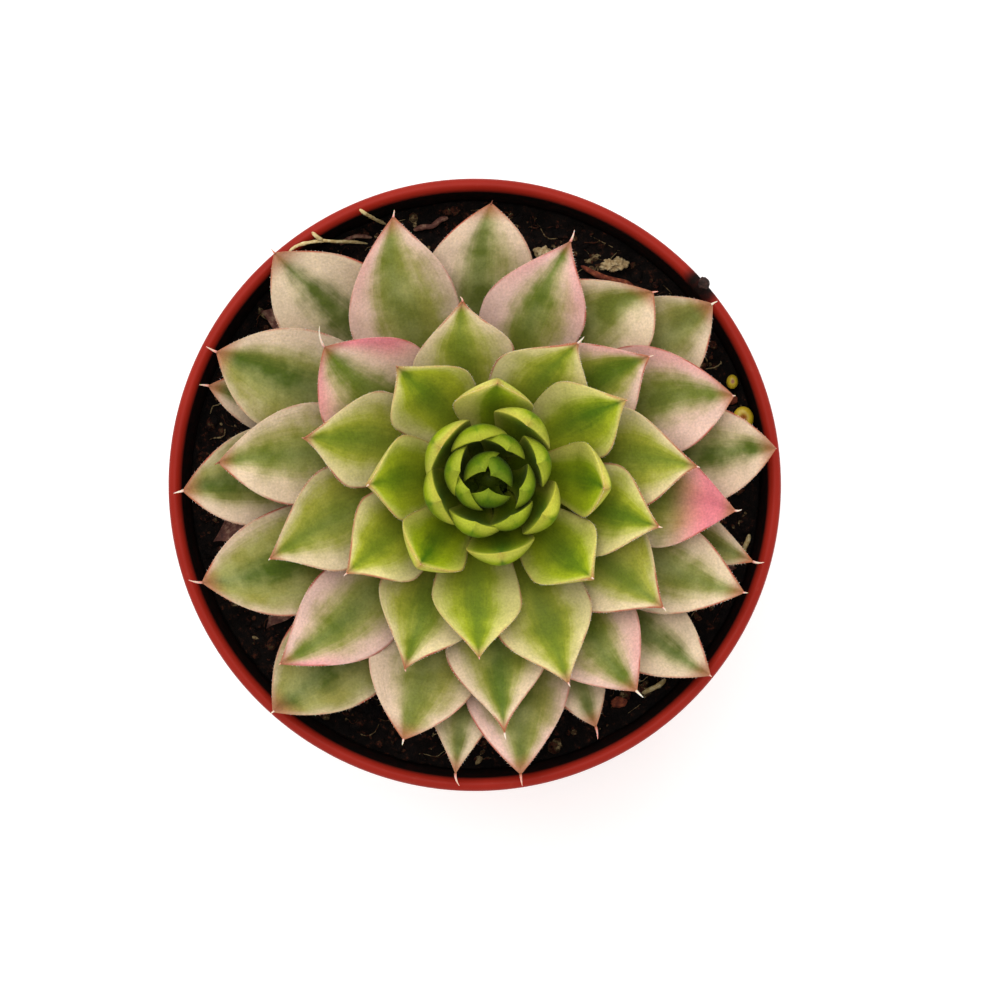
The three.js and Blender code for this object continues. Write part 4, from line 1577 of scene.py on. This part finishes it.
    # Length of a leaf's bristle and its turn to the left, where it stands out.
    bristles: dict[int, tuple[float, float]] = field(
        default_factory=lambda: {
            26: (1.6, 10.0), 31: (0.9, 60.0), 36: (3.5, -40.0), 37: (1.2, 35.0), 39: (2.0, 20.0),
            40: (1.6, 0.0), 43: (1.1, 0.0), 44: (1.2, 5.0), 46: (2.2, -25.0), 48: (1.9, 10.0),
            49: (1.9, -10.0), 54: (1.6, 0.0), 56: (2.1, 40.0), 58: (1.8, 35.0), 61: (2.1, -20.0),
            62: (1.6, 10.0),
        }
    )
    first_bristle: int = 13
    bristle_radius: float = 0.17
    bristle_point: float = 0.03
    bristle_swing: float = 22.0
    bristle_sides: int = 7
    # Share of the blade along which the fringe stands, its hairs on each side and their sizes.
    fringed: tuple[float, float] = (0.42, 0.96)
    hairs: int = 48
    hair_length: tuple[float, float] = (0.1, 0.3)
    hair_radius: float = 0.035
    hair_root: float = 0.02
    # The groove over the midrib, the power that crowds rings towards the tip, and the blade's slow rumple.
    crease: float = 0.12
    crease_width: float = 0.2
    crowding: float = 1.35
    rumple: float = 0.25
    rumple_cell: float = 5.0
    rumple_shift: float = 100.0
    # The blade's section: the power that makes it a little fuller than an ellipse, how much its upper face
    # bulges and how deep its underside is, as shares of its thickness.
    fullness: float = 0.9
    plumpness: float = 0.15
    keel: float = 0.9
    # How much leaves differ from one another: the spread of their twist, the most that a margin waves, the
    # most pink in those that don't stand out, and the spread in how far the green reaches, as a whole and
    # from side to side.
    twist_spread: float = 0.07
    wave_most: float = 0.4
    pink_most: float = 0.35
    breadth_spread: float = 0.09
    lopsided_spread: float = 0.16
    stations: int = 56
    sides: int = 44
    form_seed: int = 3
    scar_seed: int = 23
    rumple_seed: int = 37
    skin_seed: int = 17
    bristle_seed: int = 29
    fringe_seed: int = 31

    def numbers(self, first: int, after: int) -> np.ndarray:
        """The numbers of a run of leaves, without those that have withered away.

        Args:
            first: The first leaf.
            after: The leaf after the last.

        Returns:
            The numbers.
        """
        every = np.arange(first, after)
        gone = [number for number, leaf in enumerate(self.leaves) if leaf is None]
        return every[~np.isin(every, gone)]

    def blades(self, number: np.ndarray) -> Blades:
        """The forms of leaves, by number from the bud: size and stance follow age, and place the spiral.

        Args:
            number: The leaves' numbers.

        Returns:
            Their forms.
        """
        lean, reach, bow = np.array([leaf or (0.0, 0.0, 0.0) for leaf in self.leaves])[number].T
        share = np.array([self.shares.get(n, 1.0) for n in number])
        ogee = self.ogee * (1 - smooth_ramp(*self.rounds, number))
        arch = self.arch + (self.old_arch - self.arch) * smooth_ramp(*self.blunts, number)
        youth = 1 - number / (self.leaf_count - 1)
        rng = np.random.default_rng(self.form_seed)
        twist = rng.normal(0, self.twist_spread, self.leaf_count)[number]
        wave = rng.uniform(-self.wave_most, self.wave_most, self.leaf_count)[number]
        foot = np.minimum(self.foot_depth, 0.6 * reach)
        opened = smooth_ramp(*self.opens, number)
        swell = self.bud_swell + (self.heart_swell - self.bud_swell) * smooth_ramp(*self.unfurls, number)
        grown = (self.heart_thickness - self.bud_thickness) * smooth_ramp(*self.thickens, number)
        thinned = (self.heart_thickness - self.old_thickness) * smooth_ramp(*self.thins, number)
        width = self.bud_width + (self.full_width - self.bud_width) * smooth_ramp(*self.broadens, number)
        sunk = self.bud_sink * (1 - smooth_ramp(*self.rises, number))
        loose = smooth_ramp(*self.loosens, number)
        return Blades(
            number=number,
            bearing=self.first_bearing - self.spiral_turn * number,
            lean=lean,
            bow=bow,
            reach=reach,
            foot=foot,
            foot_z=self.foot_low + self.foot_climb * youth**self.foot_power,
            tip_z=self.tip_low + self.tip_climb * youth**self.tip_power - sunk,
            width=width * share,
            thickness=(self.bud_thickness + grown - thinned) * np.minimum(1, np.sqrt(share)),
            knee=(1 - opened) * (reach + swell) + opened * (foot + self.open_knee * (reach - foot)),
            lift=self.old_lift + self.young_lift * youth,
            cup=self.bud_cup + self.cup_growth * number,
            twist=twist * loose,
            wave=wave * loose,
            opened=opened,
            ogee=np.array([self.ogees.get(n, usual) for n, usual in zip(number, ogee)]),
            arch=np.array([self.arches.get(n, usual) for n, usual in zip(number, arch)]),
            crown=self.crown,
        )

    def leaf_shell(self, blades: Blades) -> Shell:
        """Closed blades: a section that is a flat half ellipse above and a deep one below, carried along.

        Args:
            blades: The leaves' forms.

        Returns:
            All of them as one shell, with what their skin's colours follow.
        """
        t = np.arange(self.stations) / self.stations
        u = (1 - (1 - t) ** self.crowding)[None, :, None]
        turn = (2 * np.pi * np.arange(self.sides) / self.sides)[None, None, :]
        v = np.sign(np.cos(turn)) * np.abs(np.cos(turn)) ** self.fullness
        keel = blades.thickness[:, None, None] * leaf_depth(u)
        rise = np.sign(np.sin(turn)) * np.abs(np.sin(turn)) ** self.fullness
        grown = smooth_ramp(*self.ribs, blades.number)[:, None, None]
        groove = np.exp(-((v / self.crease_width) ** 2))
        crease = self.crease * groove * smooth_ramp(0.4, 0.8, u) * (rise > 0) * grown
        plump = -self.plumpness * keel * np.abs(rise) ** 0.6
        keeled = self.keel * keel * np.abs(rise) ** (1.8 - 0.6 * grown)
        depth = np.where(rise > 0, plump, keeled) + crease * np.minimum(1, keel)
        rings = blades.points(u, v, depth)
        rumple = value_noise(rings + self.rumple_shift, self.rumple_cell, self.rumple_seed)
        rings[..., 2] += self.rumple * rumple * grown
        foot, tip = blades.on_midrib(0.0, 1.0)
        shell = ringed_shell(rings, foot, tip)

        count = len(blades.number)
        grid = np.ones((count, self.stations, self.sides))
        zero, one = np.zeros(count), np.ones(count)
        shell.across_along = ringed_values(
            np.stack([0.5 + 0.5 * v * grid, u * grid], -1),
            np.stack([0.5 * one, zero], -1),
            np.stack([0.5 * one, one], -1),
        )
        age = blades.number / (self.leaf_count - 1)
        rng = np.random.default_rng(self.skin_seed)
        pinker = smooth_ramp(*self.pinkens, np.arange(self.leaf_count))
        usual = self.pink_most * rng.random(self.leaf_count) * pinker
        rosy = np.array([self.rosy.get(n, usual[n]) for n in range(self.leaf_count)])[blades.number]
        green = np.array([self.greens.get(n, 0.0) for n in blades.number])
        breadth = rng.normal(0, self.breadth_spread, self.leaf_count)[blades.number] - green
        lopsided = rng.normal(0, self.lopsided_spread, self.leaf_count)[blades.number]
        streak = np.maximum(rng.uniform(0.35, 1.0, self.leaf_count)[blades.number], green > 0)
        half = blades.half_width(u)
        flush = np.zeros_like(grid)
        for leaf, side, start, strength in self.patches:
            here = (blades.number == leaf)[:, None, None]
            edgewise = 1.0 if side == 0 else smooth_ramp(0.35, 0.9, side * v)
            reaching = smooth_ramp(start, start + 0.25, u) * (1 - 0.4 * smooth_ramp(0.92, 1, u))
            flush = np.maximum(flush, here * strength * reaching * edgewise)
        shell.attributes = {
            "age": ringed_values(grid * age[:, None, None], age, age),
            "rosy": ringed_values(grid * rosy[:, None, None], rosy, rosy),
            "blush": ringed_values(flush, zero, zero),
            "edge": ringed_values(half * (1 - np.abs(v)) * grid, zero + 1, zero),
            "below": ringed_values(grid * smooth_ramp(0.15, -0.15, rise), zero, zero),
            "breadth": ringed_values(
                grid * breadth[:, None, None] + v * lopsided[:, None, None], breadth, breadth
            ),
            "streak": ringed_values(grid * streak[:, None, None], streak, streak),
        }
        return shell

    def stem_shell(self) -> Shell:
        """The short stem: a turned body, knobbly with old leaf scars, on the crown's axis.

        Returns:
            The stem; its skin is that of a midrib near the foot.
        """
        corners = [
            (0.0, self.stem_foot, 0.0),
            (self.stem_radius - 0.4, self.stem_foot, 0.8),
            (self.stem_radius, self.stem_foot + 1.5, 1.0),
            (self.stem_radius, self.stem_shoulder, 3.0),
            (0.55 * self.stem_radius, self.stem_top - 3, 1.5),
            (0.0, self.stem_top, 0.0),
        ]
        profile = rounded_profile(corners, steps=12)
        shell = turned_shell(profile, self.stem_sides)
        scars = value_noise(shell.points + self.scar_shift, self.scar, self.scar_seed)
        knobs = 1 + self.scar_height * scars[:, None]
        shell.points = shell.points * np.concatenate([knobs, knobs, np.ones_like(knobs)], axis=1)
        shell.points += np.array([*self.crown, 0.0])
        shell.across_along = np.tile([0.5, 0.3], (len(shell.points), 1))
        return shell

    def bristle_shell(self) -> Shell:
        """The bristle on each leaf's tip: a thin cone that goes on along the midrib and curls.

        Returns:
            The bristles, each with its tint, which is browner towards its root.
        """
        blades = self.blades(self.numbers(self.first_bristle, self.leaf_count))
        near_tip, tip = blades.on_midrib(0.975, 1.0)
        ahead = unit(tip - near_tip)
        level = unit(np.cross(UP, ahead))
        rng = np.random.default_rng(self.bristle_seed)
        sprouted = smooth_ramp(*self.sprouts, np.arange(self.leaf_count))
        length = 0.3 + rng.uniform(0.1, 0.8, self.leaf_count) * sprouted
        swing = rng.normal(0, self.bristle_swing, self.leaf_count)
        for leaf, (long, turned) in self.bristles.items():
            length[leaf], swing[leaf] = long, turned
        length, swing = length[blades.number], np.radians(swing[blades.number])
        rise = rng.uniform(0.0, 0.5, self.leaf_count)[blades.number]
        t = np.linspace(0, 1, 9)[None, :, None]
        bend = swing[:, None, None] * t
        way = ahead[:, None] * np.cos(bend) + level[:, None] * np.sin(bend)
        way = way + UP * rise[:, None, None] * t
        start = tip - 0.35 * ahead
        paths = start[:, None] + np.cumsum(way, axis=1) * (length / t.shape[1])[:, None, None]
        stout = self.bristle_radius * np.minimum(1, 0.4 + 0.4 * length)[:, None]
        radii = stout * (1 - t[..., 0]) ** 0.8 + self.bristle_point
        shell = tubes(paths, radii, self.bristle_sides)
        tint = np.clip(rng.normal(0.35, 0.28, self.leaf_count), 0, 0.9)[blades.number]
        root = 0.45 * (1 - t[..., 0]) ** 3
        shade = (tint[:, None] + root)[..., None] * np.ones(self.bristle_sides)
        shell.attributes["tint"] = ringed_values(shade, shade[:, 0, 0], shade[:, -1, 0])
        return shell

    def fringe_shell(self) -> Shell:
        """The fringe of soft hairs along both margins: three-sided spikes that stand out and lean forward.

        Returns:
            The hairs, each with its tint.
        """
        blades = self.blades(self.numbers(self.heart_leaves, self.leaf_count))
        count, hairs = len(blades.number), self.hairs
        rng = np.random.default_rng(self.fringe_seed)
        even = np.linspace(*self.fringed, hairs)[None, :, None]
        u = even + rng.uniform(-0.003, 0.003, (count, hairs, 1))
        u = np.repeat(u, 2, axis=2)
        v = np.array([1.0, -1.0])[None, None] * np.ones_like(u)
        flat = np.zeros_like(u)
        root = blades.points(u, 0.985 * v, flat)
        out = unit(blades.points(u, v, flat) - blades.points(u, 0.9 * v, flat))
        ahead = unit(blades.points(u + 0.01, v, flat) - root)
        lean = rng.uniform(0.2, 0.7, (count, hairs, 2, 1))
        way = unit(out + lean * ahead + rng.normal(0, 0.15, (count, hairs, 2, 3)))
        length = rng.uniform(*self.hair_length, (count, hairs, 2, 1))
        turn = 2 * np.pi * np.arange(3) / 3
        lift = np.cross(out, ahead)[..., None, :]
        ring = ahead[..., None, :] * np.cos(turn)[:, None] + lift * np.sin(turn)[:, None]
        total = count * hairs * 2
        rings = (root[..., None, :] + self.hair_radius * ring).reshape(total, 1, 3, 3)
        start, end = root - self.hair_root * way, root + length * way
        shell = ringed_shell(rings, start.reshape(total, 3), end.reshape(total, 3))
        shell.attributes["tint"] = np.repeat(rng.uniform(0.0, 0.5, total), len(shell.points) // total)
        return shell

    def build(self) -> None:
        """Makes the stem, the three bands of leaves, their bristles and their fringe."""
        install(to_object("stem", self.stem_shell()), HouseleekSkin(), "leaf", "rosette")
        for band in Band:
            name, first, after = band.value
            shell = self.leaf_shell(self.blades(self.numbers(first, after)))
            install(to_object(name, shell), HouseleekSkin(), "leaf", "rosette")
        install(to_object("leaf_bristles", self.bristle_shell()), DryBristle(), "leaf", "rosette")
        fringe = to_object("margin_fringe", self.fringe_shell(), smooth=False)
        install(fringe, DryBristle(), "leaf", "rosette")


# ---- Loose things on the soil ------------------------------------------------------------------


@dataclass
class Lump:
    """A small rounded or rough body that stands where its solid stands and fills its box."""

    node: str
    finish: Finish
    slot: str
    roughness: float
    cell: float
    seed: int
    dimple: float = 0.0
    dimple_width: float = 0.55
    shift: float = 50.0
    rings: int = 32
    sides: int = 48

    def shell(self) -> Shell:
        """A ball from rings of latitude, made uneven by three layers of noise, each half as broad as the one
        before, with a round dimple on top, fitted to the solid's box.

        Returns:
            The lump, which carries where its dimple is.
        """
        low, high = (np.array(corner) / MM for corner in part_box(self.node))
        half = (high - low) / 2
        ball = latitudes(self.rings, self.sides)
        whole = np.concatenate([ball.reshape(-1, 3), [UP, -UP]])
        cells = (self.cell, 0.5 * self.cell, 0.25 * self.cell)
        heights = (self.roughness, 0.5 * self.roughness, 0.3 * self.roughness)
        noise = layered_noise(whole * half + self.shift, cells, heights, self.seed)
        uneven = 1 - 0.6 * self.roughness + noise
        from_top = np.arccos(np.clip(whole[:, 2], -1, 1))
        pit = np.exp(-((from_top / self.dimple_width) ** 2))
        shaped = whole * (uneven - self.dimple * pit)[:, None]
        shaped = shaped / np.abs(shaped).max(axis=0)
        points = shaped * half + (low + high) / 2
        rings = points[:-2].reshape(1, *ball.shape)
        shell = ringed_shell(rings, points[-2:-1], points[-1:])
        shell.attributes["pit"] = smooth_ramp(0.2, 0.75, pit) * (self.dimple > 0)
        return shell

    def build(self) -> None:
        """Makes the lump in place of its solid."""
        install(to_object(self.node + "_fine", self.shell()), self.finish, self.slot, self.node)


@dataclass
class Strand:
    """A stalk, strip or root end: a tapering tube through points given by their height over the soil."""

    node: str
    finish: Finish
    slot: str
    thickness: float
    stretches: tuple[tuple[tuple[float, float, float], ...], ...]
    flatness: float = 0.8
    knots: float = 0.22
    knot_length: float = 0.8
    shift: float = 30.0
    seed: int = 1
    steps: int = 16
    sides: int = 12

    def tube(self, stretch: tuple[tuple[float, float, float], ...], soil: Soil) -> Shell:
        """One stretch: a tube along a curve, uneven like a dry stalk, that tapers towards both ends.

        Args:
            stretch: Its points, each with its height over the soil's top.
            soil: What they stand over.

        Returns:
            The tube.
        """
        place = np.array(stretch)
        place[:, 2] += soil.top(place[:, 0], place[:, 1]) + soil.gap + self.thickness / 2
        path = curve_through(place, self.steps * (len(place) - 1))
        t = np.linspace(-1, 1, len(path))
        taper = (1 - np.abs(t) ** 3) ** 0.5 + 0.12
        knotty = 1 + self.knots * value_noise(path + self.shift, self.knot_length, self.seed)
        radii = 0.5 * self.thickness * np.minimum(1, taper) * knotty
        return tubes(path[None], radii[None], self.sides, self.flatness)

    def build(self, soil: Soil) -> None:
        """Makes the strand in place of its solid.

        Args:
            soil: What its points stand over.
        """
        whole, *others = (self.tube(stretch, soil) for stretch in self.stretches)
        for other in others:
            count = len(whole.points)
            whole = Shell(
                np.vstack([whole.points, other.points]),
                np.vstack([whole.quads, other.quads + count]),
                np.vstack([whole.triangles, other.triangles + count]),
            )
        install(to_object(self.node + "_fine", whole), self.finish, self.slot, self.node)


@dataclass
class WitheredLeaf:
    """A dead leaf on the soil: a thin blade with curled edges and shrivelled ridges."""

    node: str
    bearing: float
    reach: float
    length: float
    width: float
    swing: float = 8.0
    climb: float = 0.6
    thickness: float = 1.0
    lift: float = 1.2
    cup: float = 0.7
    wave: float = 0.5
    ogee: float = 0.6
    arch: float = 1.8
    keel: float = 0.7
    broad_ridge: float = 0.16
    fine_ridge: float = 0.1
    crowding: float = 1.3
    stations: int = 48
    sides: int = 40

    def build(self, soil: Soil) -> None:
        """Makes the leaf in place of its solid: a blade like the live ones, but thin and strongly cupped,
        with two slanting sets of ridges, waves of the place across and along it.

        Args:
            soil: What it lies on.
        """
        form = {
            "number": 1.0,
            "bearing": self.bearing - self.swing,
            "lean": self.swing,
            "bow": 0.0,
            "reach": self.reach,
            "foot": self.reach - self.length,
            "foot_z": soil.level,
            "tip_z": soil.level + self.climb,
            "width": self.width,
            "thickness": self.thickness,
            "knee": self.reach - 0.5 * self.length,
            "lift": self.lift,
            "cup": self.cup * self.width,
            "twist": 0.0,
            "wave": self.wave,
            "opened": 1.0,
            "ogee": self.ogee,
            "arch": self.arch,
        }
        blade = Blades(crown=soil.crown, **{key: np.array([value]) for key, value in form.items()})
        t = np.arange(self.stations) / self.stations
        u = (1 - (1 - t) ** self.crowding)[None, :, None]
        turn = (2 * np.pi * np.arange(self.sides) / self.sides)[None, None, :]
        v, rise = np.cos(turn), np.sin(turn)
        keel = self.keel * leaf_depth(u)
        broad = self.broad_ridge * np.sin(11 * v + 4 * u) * np.sin(np.pi * u)
        ridges = broad + self.fine_ridge * np.sin(23 * v - 9 * u)
        depth = np.where(rise > 0, -0.15, -0.7) * keel * rise + ridges
        foot, tip = blade.on_midrib(0.0, 1.0)
        shell = ringed_shell(blade.points(u, v, depth), foot, tip)
        low = np.array(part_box(self.node)[0]) / MM
        shell.points[:, 2] += low[2] - shell.points[:, 2].min()
        install(to_object(self.node + "_fine", shell), WITHERED_SKIN, "withered", self.node)


def loose_lumps() -> list[Lump]:
    """The small bodies on the soil and on the rim.

    Returns:
        One for each solid of that kind.
    """
    resin = ResinCoat()
    return [
        Lump("prill_upper", resin, "prill", 0.03, 0.8, seed=41, dimple=0.12, dimple_width=0.35),
        Lump("prill_lower", resin, "prill", 0.03, 0.9, seed=42, dimple=0.45),
        Lump("bark_chip", PINE_BARK, "bark", 0.2, 0.7, seed=43),
        Lump("flake_lower", PINE_BARK, "bark", 0.2, 0.7, seed=44),
        Lump("crumb_top", LIME_GRIT, "grit", 0.24, 0.8, seed=45),
        Lump("crumb_top_right", LIME_GRIT, "grit", 0.42, 0.8, seed=46),
        Lump("rim_crumb", PEAT_CLOD, "soil", 0.22, 0.7, seed=47),
    ]


def loose_strands() -> list[Strand]:
    """The strips and stalks on the soil.

    Returns:
        One for each solid of that kind, with its points and their heights over the soil.
    """
    return [
        Strand("bark_strip", PINE_BARK, "bark", 0.8, (
            ((14.9, 30.9, 0.3), (17.3, 29.5, 0.6), (19.8, 28.8, 0.6), (21.7, 28.2, 0.5), (22.5, 26.8, 0.3)),
        )),
        Strand("straw_arc", DRIED_STALK, "straw", 0.5, (
            ((-25.6, 32.2, 9.7), (-24.4, 33.0, 9.9), (-22.8, 33.5, 9.6), (-21.0, 33.8, 8.2),
             (-19.3, 33.8, 6.0), (-17.2, 34.0, 3.4), (-15.1, 34.0, 0.4)),
            ((-21.0, 33.8, 8.2), (-21.7, 34.2, 9.5), (-22.5, 34.9, 9.8)),
        )),
        Strand("straw_brown", WITHERED_SKIN, "withered", 0.6, (
            ((-19.0, 33.8, 0.3), (-18.1, 34.4, 0.9), (-16.6, 35.0, 1.1), (-14.5, 34.9, 0.3)),
        )),
        Strand("straw_top", DRIED_STALK, "straw", 0.5, (
            ((-15.9, 38.0, 9.8), (-15.0, 37.4, 9.6), (-13.8, 37.0, 5.5), (-12.5, 36.7, 0.4)),
        )),
        Strand("withered_tip_top", WITHERED_SKIN, "withered", 0.8, (
            ((-8.7, 35.9, 0.3), (-7.2, 36.3, 0.8), (-6.0, 36.4, 1.0), (-4.9, 37.3, 1.1), (-3.8, 37.6, 0.9)),
        )),
        Strand("pale_strand_right", DRIED_STALK, "straw", 0.7, (
            ((38.0, -9.8, 0.3), (37.9, -8.9, 0.9), (38.3, -7.9, 1.1), (38.6, -6.9, 0.4)),
        )),
        Strand("pale_strand_lower_right", DRIED_STALK, "straw", 0.7, (
            ((23.5, -29.3, 0.3), (24.9, -28.6, 0.8), (26.0, -28.0, 0.8), (26.8, -27.3, 0.3)),
        )),
    ]


def withered_leaves() -> list[WitheredLeaf]:
    """The dead leaves on the soil.

    Returns:
        One for each solid of that kind.
    """
    return [
        WitheredLeaf("withered_leaf_upper_left", 144, 40.0, 13, 6.5),
        WitheredLeaf("withered_leaf_left", 193, 40.0, 12, 5.5),
        WitheredLeaf("withered_leaf_lower_left", 214, 38.0, 12, 5.0),
        WitheredLeaf("withered_leaf_bottom", 239, 38.5, 12, 6.0),
        WitheredLeaf("withered_leaf_right", 340, 37.0, 10, 5.0),
    ]


# ---- Studio ------------------------------------------------------------------------------------


@dataclass
class Studio:
    """A pale floor, soft light from overhead and a camera that looks straight down."""

    rim_height: float = 70.0
    aim: tuple[float, float] = (3.5, -2.1)
    view_width: float = 138.4
    camera_distance: float = 450.0
    sensor: float = 36.0
    floor_half: float = 2500.0
    sky: float = 0.85
    softbox_size: float = 1000.0
    softbox_watts: float = 6.5
    softbox_place: tuple[float, float, float] = (-160.0, 420.0, 900.0)

    def floor(self) -> None:
        """A flat sheet of paper under the pot."""
        half = self.floor_half
        corners = np.array([[-half, -half, 0.0], [half, -half, 0.0], [half, half, 0.0], [-half, half, 0.0]])
        sheet = to_object("floor", Shell(corners, np.array([[0, 1, 2, 3]]), np.zeros((0, 3), int)))
        sheet.data.materials.append(BacklitPaper().material())

    def light(self) -> None:
        """An even sky and one big softbox, up and to the left."""
        world = bpy.data.worlds.new("studio")
        world.use_nodes = True
        sky = world.node_tree.nodes["Background"]
        sky.inputs["Color"].default_value = (1.0, 1.0, 1.0, 1.0)
        sky.inputs["Strength"].default_value = self.sky
        bpy.context.scene.world = world
        data = bpy.data.lights.new("softbox", "AREA")
        data.size = self.softbox_size * MM
        data.energy = self.softbox_watts
        softbox = bpy.data.objects.new("softbox", data)
        place = np.array(self.softbox_place) * MM
        softbox.location = place
        tilt = math.atan2(math.hypot(place[0], place[1]), place[2])
        softbox.rotation_euler = (0.0, tilt, math.atan2(place[1], place[0]))
        bpy.context.scene.collection.objects.link(softbox)

    def camera(self) -> None:
        """A long lens straight above the pot, with +Y at the top of the picture."""
        data = bpy.data.cameras.new("camera")
        data.sensor_width = self.sensor
        data.lens = self.sensor * self.camera_distance / self.view_width
        camera = bpy.data.objects.new("camera", data)
        camera.location = (self.aim[0] * MM, self.aim[1] * MM, (self.rim_height + self.camera_distance) * MM)
        bpy.context.scene.collection.objects.link(camera)
        bpy.context.scene.camera = camera

    def build(self) -> None:
        """Sets up the floor, the light, the camera and how bright tones are shown."""
        self.floor()
        self.light()
        self.camera()
        bpy.context.scene.view_settings.view_transform = "Standard"


def main() -> None:
    """Builds the part, piece by piece, and the studio round it."""
    logging.basicConfig(level=logging.INFO, format="%(name)s: %(message)s")
    Studio().build()
    pot = Pot()
    pot.build()
    rosette = Rosette()
    soil = Soil(pot, rosette.crown)
    soil.build()
    rosette.build()
    for lump in loose_lumps():
        lump.build()
    for strand in loose_strands():
        strand.build(soil)
    for leaf in withered_leaves():
        leaf.build(soil)


if __name__ == "__main__":
    main()
